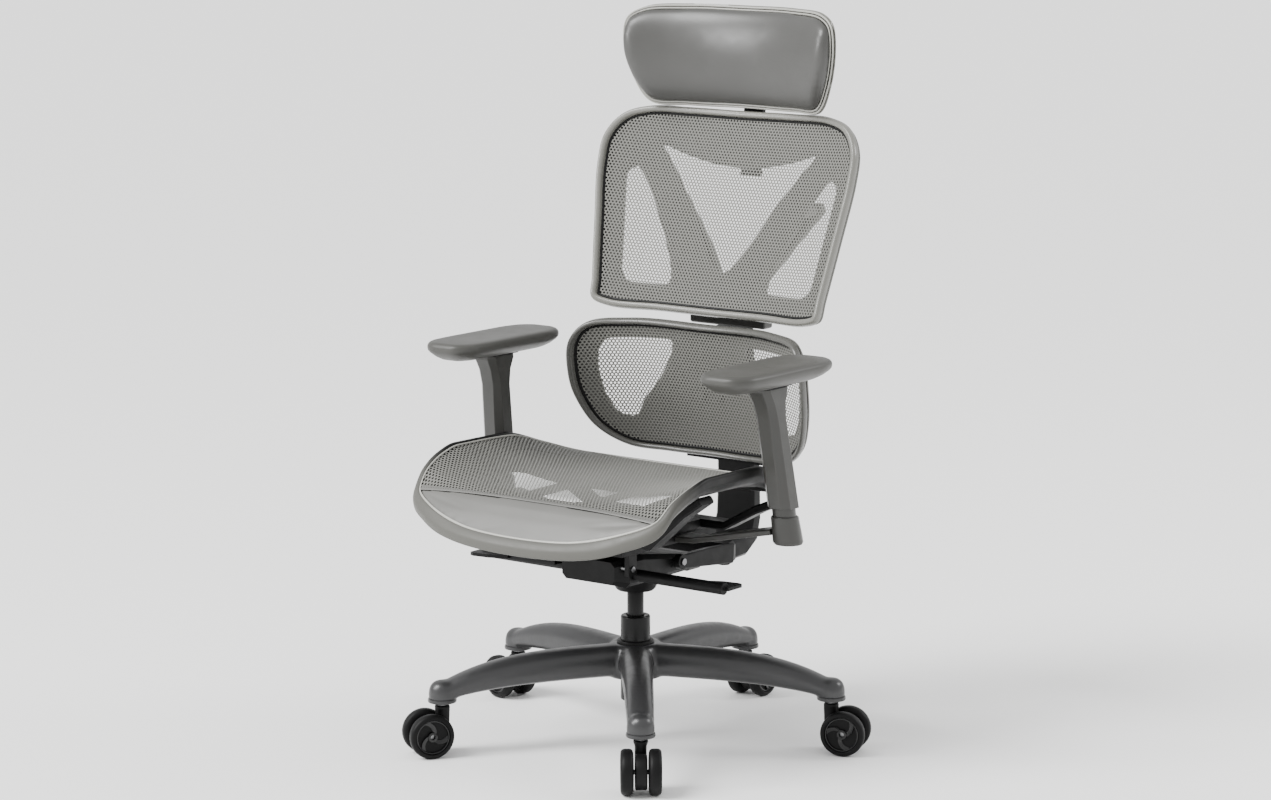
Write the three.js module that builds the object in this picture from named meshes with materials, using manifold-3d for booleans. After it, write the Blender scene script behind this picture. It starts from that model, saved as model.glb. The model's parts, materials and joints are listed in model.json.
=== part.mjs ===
// A height-adjustable swivel chair with a mesh seat, a two-panel mesh back, a headrest and adjustable arms.
// Millimetres, +Z up. The sitter faces -Y and the sitter's left hand is on +X.
// Pieces are laid out around the column axis, and the finished chair is centred on the floor.
import * as THREE from 'three';
import { mergeVertices } from 'three/addons/utils/BufferGeometryUtils.js';
import Module from 'manifold-3d';

const wasm = await Module();
wasm.setup();

// ---- Driving dimensions ----
const RUNNING = 0.4; // radial clearance of a shaft or slide in its hole
const SEAM = 1; // gap between parts that are clipped or laced together
const LAYER = 2; // gap between the layers of a back panel

const BASE = {
  legs: 5, stemRadius: 340, firstLegDeg: 38.4, hubRadius: 46, hubTop: 166, hubBottom: 106,
  legTop: 165, legBottom: 110, tipTop: 127, tipBottom: 90, rootWidth: 56, tipWidth: 46,
};
const CASTER = {
  wheelDiameter: 75, wheelWidth: 21, bodyWidth: 20, bodyRadius: 29, wheelGap: 2, trail: 25,
  axleDiameter: 8, stemDiameter: 11, neckDiameter: 25, neckTop: 84, collarHeight: 4, stemLength: 30,
};
const LIFT = {
  tubeDiameter: 50, rodDiameter: 28, tubeBottom: 66, tubeTop: 212, floorWall: 24,
  rodBottom: 118, rodTop: 292,
};
const MECH = {
  width: 140, front: -130, rear: 70, bottom: 285, top: 335, slopeStart: -70, rearTop: 313,
  bossBottom: 256, bossRadius: 34, bossRoot: 50, coverLength: 46, coverBottom: 281, coverTop: 306,
  pivotY: 20, pivotZ: 310, pinDiameter: 12,
};
const LEVER = {
  y: -92, z: 305, rodDiameter: 20, spindleDiameter: 12, spindleLength: 22, reach: 250, bladeThickness: 6,
};
const CARRIER = {
  front: -150, rear: 112, bottom: 345, thickness: 12, railHeight: 10, travel: 50,
  pivotY: -116, pivotZ: 320, pinDiameter: 10, lugHalf: 11, lugThickness: 9, lugGap: 3, lugMargin: 3,
};
const SEAT = {
  halfWidth: 268, front: -335, rear: 158, rimWidth: 12, ledgeWidth: 34, rimDepth: 27, meshThickness: 3,
  padThickness: 8, bandY: -270, frontZ: 388, middleZ: 457, rearZ: 445, wingZ: 507,
};
const PAN = {
  seatHalfWidth: 268, thickness: 4, windowSpacing: 128, windowWidth: 92, windowFront: -212, windowRear: -92, corner: 24,
};
const UNDER = {
  frontBeamY: -130, rearBeamY: 78, beamWidth: 36, beamHeight: 14, rimInset: 28, railX: 78, railWidth: 26,
};
const BRACKET = {
  wall: 12, gap: 3, cheekRadius: 12.5, crossFront: 150, crossRear: 190,
  spineWidth: 90, spineThickness: 26, spineTop: 668,
};
const UPPER = {
  halfWidth: 267, bottomY: 217, bottomZ: 692, topY: 318, topZ: 1036, wing: 34, wingPower: 2.5,
  bezelWidth: 15, bezelDepth: 16, meshThickness: 2, shellWidth: 42, shellThickness: 10,
};
const LUMBAR = {
  halfWidth: 249, bottomY: 230, bottomZ: 451, topY: 199, topZ: 683, wing: 68, wingPower: 3,
  bezelWidth: 13, bezelDepth: 16, meshThickness: 2, shellWidth: 34, shellThickness: 8, pinY: 256, pinZ: 560,
};
const VEE = { hubWidth: 158, hubBottom: 672, hubTop: 712, hubFront: 259, hubRear: 287, tipX: 143,
  tipY: 327, tipZ: 876, barDiameter: 24 };
const HEAD = {
  halfWidth: 220, bottom: 1042, top: 1218, backY: 322, wing: 54, wingPower: 2.2, padThickness: 46,
  shellThickness: 10, pivotY: 348, pivotZ: 1120, pinDiameter: 8,
};
const STEM = { width: 40, thickness: 12, bottom: 925, lean: 0.0875, guideBottom: 955, guideTop: 995,
  guideWall: 9 };
const ARM = {
  seatGap: 32, y: 17, cupBottom: 368, cupHeight: 48, cupDiameter: 49, postDiameter: 38,
  sleeveBottom: 430, sleeveTop: 632,
  leanForward: 0.155, leanIn: 0.06, postTop: 560, linkWidth: 44, linkThickness: 10,
  flareLength: 68, flareWidth: 46, sleeveLength: 47, sleeveWidth: 45, waistLength: 43, waistWidth: 43,
};
const PAD = { length: 282, width: 108, thickness: 32, forward: 0, travel: 40, carrierLength: 84,
  carrierWidth: 52, carrierThickness: 8, pocketDepth: 6, stubDiameter: 20 };
const BUTTON = { width: 16, height: 12, depth: 8, proud: 3, z: 604 };

// ---- Colours and finishes ----
const finish = (color, roughness, metalness = 0) => ({ color, roughness, metalness });
const FINISH = {
  satinMetal: finish(0x4b4b4d, 0.42, 0.7), black: finish(0x161617, 0.5), greyPlastic: finish(0x6e6e69, 0.5),
  lightFrame: finish(0xa9a89f, 0.4), shell: finish(0x8c8b86, 0.55), mesh: finish(0x8f8d86, 0.85),
  leather: finish(0x8f8e8a, 0.5), padSkin: finish(0x72716b, 0.6), tyre: finish(0x121213, 0.6),
    steel: finish(0x9a9a9c, 0.3, 0.9),
};

// ---- Geometry helpers ----
const vec = (x, y, z) => new THREE.Vector3(x, y, z);
const mix = THREE.MathUtils.lerp;
const rad = THREE.MathUtils.degToRad;

function signedVolume(positions, faces) {
  const corner = (k) => vec(...positions.slice(3 * k, 3 * k + 3));
  let six = 0;
  for (let i = 0; i < faces.length; i += 3) {
    six += corner(faces[i]).dot(corner(faces[i + 1]).cross(corner(faces[i + 2])));
  }
  return six / 6;
}

// A closed solid through a row of rings with equal point counts. A closed row joins its last ring to its first.
function loft(rings, closed = false) {
  const size = rings[0].length;
  const rows = rings.length;
  const positions = rings.flat().flatMap((p) => [p.x, p.y, p.z]);
  const faces = [];
  for (let i = 0; i < (closed ? rows : rows - 1); i += 1) {
    for (let j = 0; j < size; j += 1) {
      const next = ((i + 1) % rows) * size;
      const a = i * size + j;
      const b = i * size + ((j + 1) % size);
      faces.push(a, b, next + ((j + 1) % size), a, next + ((j + 1) % size), next + j);
    }
  }
  if (!closed) {
    for (const [row, turn] of [[0, 1], [rows - 1, 0]]) {
      const middle = rings[row].reduce((sum, p) => sum.add(p), vec(0, 0, 0)).divideScalar(size);
      const hub = positions.length / 3;
      positions.push(middle.x, middle.y, middle.z);
      for (let j = 0; j < size; j += 1) {
        const edge = [row * size + j, row * size + ((j + 1) % size)];
        faces.push(edge[turn], edge[1 - turn], hub);
      }
    }
  }
  if (signedVolume(positions, faces) < 0) faces.reverse();
  const geometry = new THREE.BufferGeometry();
  geometry.setAttribute('position', new THREE.Float32BufferAttribute(positions, 3));
  geometry.setIndex(faces);
  geometry.computeVertexNormals();
  return geometry;
}

function toSolid(geometry) {
  const bare = geometry.clone();
  bare.deleteAttribute('normal');
  bare.deleteAttribute('uv');
  const merged = mergeVertices(bare, 1e-3);
  return new wasm.Manifold(new wasm.Mesh({
    numProp: 3, vertProperties: merged.attributes.position.array,
      triVerts: new Uint32Array(merged.index.array),
  }));
}

function toGeometry(solid) {
  const made = solid.getMesh();
  const geometry = new THREE.BufferGeometry();
  geometry.setAttribute('position', new THREE.BufferAttribute(new Float32Array(made.vertProperties), 3));
  geometry.setIndex(new THREE.BufferAttribute(new Uint32Array(made.triVerts), 1));
  geometry.computeVertexNormals();
  return geometry;
}

const join = (...shapes) => toGeometry(shapes.map(toSolid).reduce((all, one) => all.add(one)));
const cut = (shape, ...tools) => toGeometry(tools.map(toSolid).reduce((left, tool) => left.subtract(tool),
  toSolid(shape)));
const keep = (shape, zone) => toGeometry(toSolid(shape).intersect(toSolid(zone)));

function box(x0, x1, y0, y1, z0, z1) {
  return new THREE.BoxGeometry(x1 - x0, y1 - y0, z1 - z0).translate((x0 + x1) / 2, (y0 + y1) / 2,
    (z0 + z1) / 2);
}

function rod(radius, from, to, sides = 14) {
  const along = to.clone().sub(from);
  const turn = new THREE.Quaternion().setFromUnitVectors(vec(0, 1, 0), along.clone().normalize());
  return new THREE.CylinderGeometry(radius, radius, along.length(), sides)
    .applyQuaternion(turn)
    .translate(...from.clone().add(to).multiplyScalar(0.5).toArray());
}

// A turned solid on the Z axis from [radius, z] points.
function turned(points, sides = 18) {
  const profile = points.map(([r, z]) => new THREE.Vector2(r, z));
  const geometry = new THREE.LatheGeometry(profile, sides).rotateX(Math.PI / 2);
  return signedVolume([...geometry.attributes.position.array], [...geometry.index.array]) < 0
    ? turned([...points].reverse(), sides)
    : geometry;
}

// Section outlines: a box with chamfered corners, and an ellipse.
const chamfered = (w, h, c) => [
  [w / 2 - c, -h / 2], [w / 2, -h / 2 + c], [w / 2, h / 2 - c], [w / 2 - c, h / 2],
  [-w / 2 + c, h / 2], [-w / 2, h / 2 - c], [-w / 2, -h / 2 + c], [-w / 2 + c, -h / 2],
];
const oval = (w, h, count = 12, power = 1) => Array.from({ length: count }, (_, k) => {
  const angle = (2 * Math.PI * (k + 0.5)) / count;
  const shaped = (t) => Math.sign(t) * Math.abs(t) ** power;
  return [(w / 2) * shaped(Math.cos(angle)), (h / 2) * shaped(Math.sin(angle))];
});

// A beam along points, with one section outline at each point laid across the path, its width along side.
function beam(points, sections, side) {
  const rings = points.map((p, i) => {
    const tangent = points[Math.min(i + 1, points.length - 1)].clone().sub(points[Math.max(i - 1,
      0)]).normalize();
    const across = side.clone().addScaledVector(tangent, -side.dot(tangent)).normalize();
    const up = tangent.clone().cross(across);
    return sections[i].map(([u, v]) => p.clone().addScaledVector(across, u).addScaledVector(up, v));
  });
  return loft(rings);
}

// A left and right outline from its right half, as evenly spaced points on a smooth closed curve.
function outline(half, count) {
  const left = half.filter(([x]) => x > 0).reverse().map(([x, y]) => [-x, y]);
  const curve = new THREE.CatmullRomCurve3([...half, ...left].map(([x, y]) => vec(x, y, 0)), true,
    'centripetal');
  return curve.getSpacedPoints(count).slice(0, count).map((p) => new THREE.Vector2(p.x, p.y));
}

// The outline moved inwards by a distance. Its points run counter-clockwise.
function inset(points, distance) {
  return points.map((p, i) => {
    const before = points[(i + points.length - 1) % points.length];
    const after = points[(i + 1) % points.length];
    const along = after.clone().sub(before).normalize();
    return new THREE.Vector2(p.x - along.y * distance, p.y + along.x * distance);
  });
}

// A ring that follows an outline, with a section of [inset, depth] points, laid on a curved surface.
function ringOn(surface, points, section) {
  const layers = section.map(([a, depth]) => inset(points, a).map((p) => surface(p.x, p.y, depth)));
  return loft(points.map((_, i) => layers.map((layer) => layer[i])), true);
}

// A sheet that fills an outline between two depths, laid on a curved surface.
function sheetOn(surface, points, from, to, steps = [0.12, 0.45, 0.76, 1]) {
  const middle = points.reduce((sum, p) => sum.add(p), new THREE.Vector2()).divideScalar(points.length);
  const ring = (share, depth) => points.map((p) => {
    const q = middle.clone().lerp(p, share);
    return surface(q.x, q.y, depth);
  });
  return loft([...steps.map((s) => ring(s, to)), ...[...steps].reverse().map((s) => ring(s, from))]);
}

// ---- Scene graph ----
const chair = new THREE.Group();
function add(name, geometry, look, group = chair) {
  const mesh = new THREE.Mesh(geometry, new THREE.MeshStandardMaterial(look));
  mesh.name = name;
  group.add(mesh);
  return mesh;
}

// ---- Star base and casters ----
function legGeometry() {
  const stations = [0.06, 0.35, 0.6, 0.8, 1].map((share) => share * BASE.stemRadius);
  const points = [];
  const sections = [];
  for (const r of stations) {
    const drop = (r / BASE.stemRadius) ** 4;
    const top = mix(BASE.legTop, BASE.tipTop - 6, drop);
    const bottom = mix(BASE.legBottom, BASE.tipBottom + 2, drop);
    points.push(vec(r, 0, (top + bottom) / 2));
    sections.push(oval(mix(BASE.rootWidth, BASE.tipWidth, r / BASE.stemRadius), top - bottom, 10, 0.75));
  }
  return beam(points, sections, vec(0, 1, 0));
}

function tipGeometry() {
  const r = BASE.tipWidth / 2;
  const { tipBottom: low, tipTop: high } = BASE;
  return turned([[0, low], [r - 3, low], [r, low + 3], [r, high - 16], [r * 0.8, high - 5], [0, high]], 14)
    .translate(BASE.stemRadius, 0, 0);
}

function addBase() {
  const hub = turned([[0, BASE.hubBottom], [BASE.hubRadius, BASE.hubBottom],
    [BASE.hubRadius, BASE.hubTop - 8],
    [BASE.hubRadius - 6, BASE.hubTop], [0, BASE.hubTop]], 30);
  const arms = [];
  const sockets = [];
  for (let k = 0; k < BASE.legs; k += 1) {
    const turn = legAngle(k);
    arms.push(legGeometry().rotateZ(turn), tipGeometry().rotateZ(turn));
    const socket = rod(CASTER.stemDiameter / 2 + RUNNING, vec(BASE.stemRadius, 0, BASE.tipBottom - 5),
      vec(BASE.stemRadius, 0, stemTop() + SEAM), 10);
    sockets.push(socket.rotateZ(turn));
  }
  const bore = rod(LIFT.tubeDiameter / 2 + RUNNING, vec(0, 0, BASE.hubBottom - 20),
    vec(0, 0, BASE.hubTop + 20), 24);
  add('star_base', cut(join(hub, ...arms), bore, ...sockets), FINISH.satinMetal);
}

const legAngle = (k) => rad(BASE.firstLegDeg - 90 + (360 / BASE.legs) * k);
const stemTop = () => CASTER.neckTop + CASTER.collarHeight + CASTER.stemLength;

// One caster in its own frame: the stem on Z, the wheels trailing towards +X on an axle along Y.
function addCaster(k) {
  const { trail, bodyWidth, wheelWidth, wheelGap } = CASTER;
  const wheelR = CASTER.wheelDiameter / 2;
  const axleR = CASTER.axleDiameter / 2;
  const group = new THREE.Group();
  const turn = legAngle(k);
  group.position.set(BASE.stemRadius * Math.cos(turn), BASE.stemRadius * Math.sin(turn), 0);
  group.rotation.z = turn;
  chair.add(group);
  const plate = rod(CASTER.bodyRadius, vec(trail, -bodyWidth / 2, wheelR),
    vec(trail, bodyWidth / 2, wheelR), 16);
  const neck = rod(CASTER.neckDiameter / 2, vec(0, 0, wheelR + 12), vec(0, 0, CASTER.neckTop), 12);
  const collar = rod(CASTER.stemDiameter * 0.8, vec(0, 0, CASTER.neckTop - 1),
    vec(0, 0, CASTER.neckTop + CASTER.collarHeight), 10);
  const stem = rod(CASTER.stemDiameter / 2, vec(0, 0, CASTER.neckTop), vec(0, 0, stemTop()), 10);
  const trimmed = keep(neck, box(-50, 50, -bodyWidth / 2, bodyWidth / 2, 0, CASTER.neckTop - 2));
  const neckUpper = keep(neck, box(-50, 50, -50, 50, wheelR * 2 + 1.5, CASTER.neckTop));
  const hole = rod(axleR + RUNNING, vec(trail, -bodyWidth, wheelR), vec(trail, bodyWidth, wheelR), 10);
  add(`caster_body_${k + 1}`, cut(join(plate, trimmed, neckUpper, collar, stem), hole), FINISH.black,
    group);
  const outer = bodyWidth / 2 + wheelGap + wheelWidth;
  add(`caster_axle_${k + 1}`, rod(axleR, vec(trail, -outer + 8, wheelR), vec(trail, outer - 8, wheelR),
    8), FINISH.steel, group);
  for (const [label, sign] of [['left', 1], ['right', -1]]) {
    const wheel = wheelGeometry().rotateX(-sign * Math.PI / 2).translate(trail,
      sign * (bodyWidth / 2 + wheelGap), wheelR);
    add(`caster_wheel_${label}_${k + 1}`, wheel, FINISH.tyre, group);
  }
}

// A wheel on the Z axis, inner face at 0: a rounded tread and a dished outer face with a hub.
function wheelGeometry() {
  const r = CASTER.wheelDiameter / 2;
  const w = CASTER.wheelWidth;
  const bore = CASTER.axleDiameter / 2 + RUNNING;
  return turned([[bore, 0], [r - 3, 0], [r, 3], [r, w - 6], [r - 5, w], [bore, w - 5], [bore, 0]], 16);
}

// ---- Gas lift ----
function addLift() {
  const tubeR = LIFT.tubeDiameter / 2;
  const rodR = LIFT.rodDiameter / 2;
  const well = LIFT.tubeBottom + LIFT.floorWall;
  add('gas_lift_tube', turned([[0, LIFT.tubeBottom], [tubeR - 2, LIFT.tubeBottom], [tubeR,
    LIFT.tubeBottom + 2],
    [tubeR, LIFT.tubeTop - 2], [tubeR - 2, LIFT.tubeTop], [rodR + RUNNING, LIFT.tubeTop],
      [rodR + RUNNING, well], [0, well]]), FINISH.black);
  add('gas_lift_rod', rod(rodR, vec(0, 0, LIFT.rodBottom), vec(0, 0, LIFT.rodTop), 24), FINISH.steel);
}

// ---- Tilt mechanism ----
// A block along Y through [y, share of the width, lower edge, upper edge] stations.
function castBlock(stations, chamfer) {
  return loft(stations.map(([y, share, low, high]) => chamfered(MECH.width * share, high - low, chamfer)
    .map(([u, v]) => vec(u, y, (low + high) / 2 + v))));
}

// The pin through the housing's nose that the seat carrier tilts on.
function carrierPin(extra) {
  const reach = MECH.width / 2 + CARRIER.lugGap + CARRIER.lugThickness + 2 + 10 * extra;
  const { pivotY: y, pivotZ: z } = CARRIER;
  return rod(CARRIER.pinDiameter / 2 + extra, vec(-reach, y, z), vec(reach, y, z), 14);
}

function addMechanism() {
  const half = MECH.width / 2;
  const body = castBlock([
    [MECH.front, 0.78, MECH.bottom + 6, MECH.top - 6],
    [MECH.front + 22, 1, MECH.bottom, MECH.top],
    [MECH.slopeStart, 1, MECH.bottom, MECH.top],
    [MECH.rear, 0.96, MECH.bottom, MECH.rearTop],
  ], 8);
  const boss = turned([[0, MECH.bossBottom], [MECH.bossRadius - 3, MECH.bossBottom],
    [MECH.bossRadius, MECH.bossBottom + 3],
    [MECH.bossRoot, MECH.bottom + 8], [0, MECH.bottom + 8]]);
  const socket = rod(LIFT.rodDiameter / 2 + RUNNING, vec(0, 0, MECH.bossBottom - 5),
    vec(0, 0, LIFT.rodTop + SEAM), 24);
  const pinHole = rod(MECH.pinDiameter / 2 + RUNNING, vec(-half - 5, MECH.pivotY, MECH.pivotZ),
    vec(half + 5, MECH.pivotY, MECH.pivotZ), 16);
  const leverHoles = [-1, 1].map((s) => rod(LEVER.spindleDiameter / 2 + RUNNING,
    vec(s * (half - LEVER.spindleLength - SEAM), LEVER.y, LEVER.z), vec(s * (half + 5), LEVER.y, LEVER.z),
      16));
  add('tilt_housing', cut(join(body, boss), socket, pinHole, carrierPin(RUNNING), ...leverHoles),
    FINISH.black);
  add('seat_pivot_pin', carrierPin(0), FINISH.steel);
  const coverFront = MECH.rear + SEAM;
  const cover = castBlock([
    [coverFront, 0.86, MECH.coverBottom, MECH.coverTop],
    [coverFront + MECH.coverLength - 10, 0.86, MECH.coverBottom, MECH.coverTop],
    [coverFront + MECH.coverLength, 0.74, MECH.coverBottom + 4, MECH.coverTop - 4],
  ], 5);
  add('mechanism_rear_cover', cover, FINISH.greyPlastic);
  const pinReach = half + BRACKET.gap + BRACKET.wall + 3;
  add('recline_pin', rod(MECH.pinDiameter / 2, vec(-pinReach, MECH.pivotY, MECH.pivotZ), vec(pinReach,
    MECH.pivotY, MECH.pivotZ), 16), FINISH.steel);
}

// A lever on the side of the sign: a round rod that twists on its own axis, with a flat finger blade at its end.
function addLever(name, side, bladeY) {
  const { y, z, reach } = LEVER;
  const face = MECH.width / 2;
  const handle = rod(LEVER.rodDiameter / 2, vec(side * (face + SEAM), y, z), vec(side * reach, y, z), 16);
  const spindle = rod(LEVER.spindleDiameter / 2, vec(side * (face - LEVER.spindleLength), y, z),
    vec(side * (face + SEAM + 5), y, z), 16);
  const blade = loft([[reach - 62, 0.5], [reach - 30, 0.9], [reach, 1],
    [reach + 8, 0.9]].map(([x, share]) => {
    const tip = y + bladeY * share;
    const half = LEVER.bladeThickness / 2;
    return [vec(side * x, y, z - half), vec(side * x, tip, z - half), vec(side * x, tip, z + half),
      vec(side * x, y, z + half)];
  }));
  add(name, join(handle, spindle, blade), FINISH.black);
}

// ---- Seat ----
// Side rim height along the chair, and the lower line of the seat's middle.
const alongSeat = (stops) => (y) => {
  for (let i = 1; i < stops.length; i += 1) {
    if (y <= stops[i][0] || i === stops.length - 1) {
      const [[y0, z0], [y1, z1]] = [stops[i - 1], stops[i]];
      const t = THREE.MathUtils.clamp((y - y0) / (y1 - y0), 0, 1);
      return mix(z0, z1, t * t * (3 - 2 * t));
    }
  }
  return 0;
};
const { front, rear } = SEAT;
const rimLine = alongSeat([
  [front, SEAT.frontZ], [SEAT.bandY, SEAT.middleZ - 15], [SEAT.bandY + 30, SEAT.wingZ - 32],
  [-160, SEAT.wingZ - 2], [-25, SEAT.wingZ - 3], [rear, SEAT.rearZ],
]);
const middleLine = alongSeat([[front, SEAT.frontZ], [SEAT.bandY, SEAT.middleZ - 4], [-120, SEAT.middleZ],
  [rear, SEAT.rearZ]]);
const seatSurface = (x, y, depth) => {
  const share = Math.min(1, Math.abs(x) / SEAT.halfWidth);
  return vec(x, y, mix(middleLine(y), rimLine(y), share ** 3) + depth);
};
const seatOutline = () => {
  const w = SEAT.halfWidth;
  return outline([[0, front], [w * 0.45, front + 7], [w * 0.76, front + 27], [w * 0.94, front + 56],
    [w * 0.99, front + 105],
    [w, -110], [w * 0.98, 10], [w * 0.92, rear - 50], [w * 0.77, rear - 7], [w * 0.5, rear], [0, rear]],
      34);
};

// The windowed pan that closes the seat frame under the mesh.
function seatPan(rim, shelf) {
  const { windowSpacing: pitch, windowWidth: wide, windowFront: low, windowRear: high, corner } = PAN;
  const scale = SEAT.halfWidth / PAN.seatHalfWidth;
  const windows = [-1, 0, 1].map((s) => loft([300, 600].map((z) => chamfered(wide * scale, high - low,
    corner).map(([u, v]) => vec(s * pitch * scale + u, (low + high) / 2 + v, z)))));
  const web = sheetOn(seatSurface, inset(rim, SEAT.ledgeWidth - 3), shelf - 0.5 - PAN.thickness,
    shelf - 0.5, [0.12, 0.45, 0.7, 0.86, 1]);
  return cut(web, ...windows);
}

function addSeat() {
  const rim = seatOutline();
  const { rimWidth: lip, ledgeWidth: ledge, rimDepth: deep } = SEAT;
  const shelf = -SEAT.padThickness - SEAM - 2 * LAYER;
  const moulding = ringOn(seatSurface, rim, [[0, -9], [3, -2], [lip - 2, 0], [lip, -2], [lip, shelf],
    [ledge, shelf],
    [ledge, shelf - 5], [ledge - 8, -deep], [8, -deep], [1, -deep + 8]]);
  add('seat_frame', join(moulding, seatPan(rim, shelf)), FINISH.black);
  const inner = inset(rim, lip + SEAM);
  const shares = [0.12, 0.45, 0.7, 0.82, 0.92, 1];
  const behind = box(-400, 400, SEAT.bandY, 400, 200, 700);
  const ahead = box(-400, 400, -500, SEAT.bandY - 0.5, 200, 700);
  add('seat_mesh', keep(sheetOn(seatSurface, inner, -1 - SEAT.meshThickness, -1, shares), behind),
    FINISH.mesh);
  add('seat_front_pad', keep(sheetOn(seatSurface, inner, -1 - SEAT.padThickness, -1, shares), ahead),
    FINISH.leather);
}

// Two cross beams that hang the seat frame from two rails, which run on the carrier.
function addUnderframe() {
  const railTop = railLevel() + UNDER.beamHeight;
  const beams = [UNDER.frontBeamY, UNDER.rearBeamY].map((y) => {
    const edges = [-1, 1].map((s) => seatSurface(underReach(), y + (s * UNDER.beamWidth) / 2, 0).z);
    const end = Math.min(...edges) - SEAT.rimDepth - UNDER.beamHeight / 2 - SEAM;
    const low = railLevel() + UNDER.beamHeight / 2;
    const points = [-1, -0.84, -0.57, 0.57, 0.84, 1].map((share) => [share * underReach(),
      low + (end - low) * Math.max(0, (Math.abs(share) - 0.57) / 0.43) ** 0.8]);
    return beam(points.map(([x, z]) => vec(x, y, z)), points.map(() => chamfered(UNDER.beamHeight,
      UNDER.beamWidth, 3)), vec(0, 0, 1));
  });
  const rails = [-1, 1].map((s) => box(s * UNDER.railX - UNDER.railWidth / 2,
    s * UNDER.railX + UNDER.railWidth / 2,
    UNDER.frontBeamY - 18, UNDER.rearBeamY + 12, railLevel(), railTop));
  add('seat_underframe', join(...beams, ...rails), FINISH.black);
}

const underReach = () => SEAT.halfWidth - UNDER.rimInset;
const carrierTop = () => CARRIER.bottom + CARRIER.thickness;
const carrierHalf = () => MECH.width / 2 + CARRIER.lugGap + CARRIER.lugThickness + CARRIER.lugMargin;
const railLevel = () => carrierTop() + CARRIER.railHeight - 4;

// The plate that tilts on the housing, with two raised guides between the seat rails.
function addCarrier() {
  const half = carrierHalf();
  const plate = box(-half, half, CARRIER.front, CARRIER.rear, CARRIER.bottom, carrierTop());
  const guideX = UNDER.railX - UNDER.railWidth / 2 - SEAM;
  const guideRear = UNDER.rearBeamY - UNDER.beamWidth / 2 - CARRIER.travel - SEAM;
  const guides = [-1, 1].map((s) => box(Math.min(s * guideX, s * (guideX - 12)), Math.max(s * guideX,
    s * (guideX - 12)),
    UNDER.frontBeamY + 30, guideRear, carrierTop() - 1, carrierTop() + CARRIER.railHeight));
  const lugInner = MECH.width / 2 + CARRIER.lugGap;
  const lugOuter = lugInner + CARRIER.lugThickness;
  const lugs = [-1, 1].map((s) => box(Math.min(s * lugInner, s * lugOuter), Math.max(s * lugInner,
    s * lugOuter),
    CARRIER.pivotY - CARRIER.lugHalf, CARRIER.pivotY + CARRIER.lugHalf,
    CARRIER.pivotZ - CARRIER.lugHalf, CARRIER.bottom + 1));
  add('seat_carrier', cut(join(plate, ...guides, ...lugs), carrierPin(RUNNING)), FINISH.black);
}

// ---- Back ----
function panelSurface(panel) {
  const height = Math.hypot(panel.topY - panel.bottomY, panel.topZ - panel.bottomZ);
  const up = vec(0, panel.topY - panel.bottomY, panel.topZ - panel.bottomZ).divideScalar(height);
  const forward = vec(0, -up.z, up.y);
  return (x, s, depth) => {
    const curl = panel.wing * Math.min(1.2, Math.abs(x) / panel.halfWidth) ** panel.wingPower;
    return vec(x, panel.bottomY, panel.bottomZ).addScaledVector(up, s).addScaledVector(forward,
      curl + depth);
  };
}
const panelHeight = (panel) => Math.hypot(panel.topY - panel.bottomY, panel.topZ - panel.bottomZ);

// A panel's bezel in front, the mesh laced inside it and the ring of the rear shell.
function addPanel(name, panel, points, shellExtras) {
  const surface = panelSurface(panel);
  const { bezelWidth: wide, bezelDepth: deep, shellThickness: thick } = panel;
  add(`${name}_bezel`, ringOn(surface, points, [[0, 4], [3, 0], [wide, 0], [wide, deep - 4], [wide - 3,
    deep], [4, deep], [0, deep - 5]]),
    FINISH.lightFrame);
  const inner = inset(points, wide + SEAM);
  add(`${name}_mesh`, sheetOn(surface, inner, deep / 2 - panel.meshThickness, deep / 2), FINISH.mesh);
  const ring = ringOn(surface, points, [[3, -LAYER - 3], [5, -LAYER], [panel.shellWidth, -LAYER],
    [panel.shellWidth, -LAYER - thick],
    [8, -LAYER - thick]]);
  add(`${name}_shell`, shellExtras(ring, surface), FINISH.shell);
}

const upperOutline = () => {
  const w = UPPER.halfWidth;
  const h = panelHeight(UPPER);
  return outline([[0, 0], [w * 0.4, 0], [w * 0.77, -2], [w * 0.885, 8], [w * 0.905, 44],
    [w * 0.955, h * 0.4], [w, h * 0.68],
    [w * 0.985, h * 0.83], [w * 0.88, h * 0.94], [w * 0.7, h * 0.99], [w * 0.4, h], [0, h]], 32);
};
const lumbarOutline = () => {
  const w = LUMBAR.halfWidth;
  const h = panelHeight(LUMBAR);
  return outline([[0, 0], [w * 0.35, 0], [w * 0.66, 8], [w * 0.86, h * 0.18], [w * 0.97, h * 0.42],
    [w, h * 0.62],
    [w * 0.98, h * 0.86], [w * 0.88, h * 0.985], [w * 0.6, h * 1.01], [0, h]], 32);
};

// A web of a shell that follows the surface, from [x, s, width] stations.
function shellWeb(surface, stations, panel) {
  const across = [-0.5, -0.3, -0.1, 0.1, 0.3, 0.5];
  const back = -LAYER - panel.shellThickness;
  return loft(stations.map(([x, s, width]) => [
    ...across.map((share) => surface(x + share * width, s, back)),
    ...[...across].reverse().map((share) => surface(x + share * width, s, -LAYER)),
  ]));
}

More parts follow.
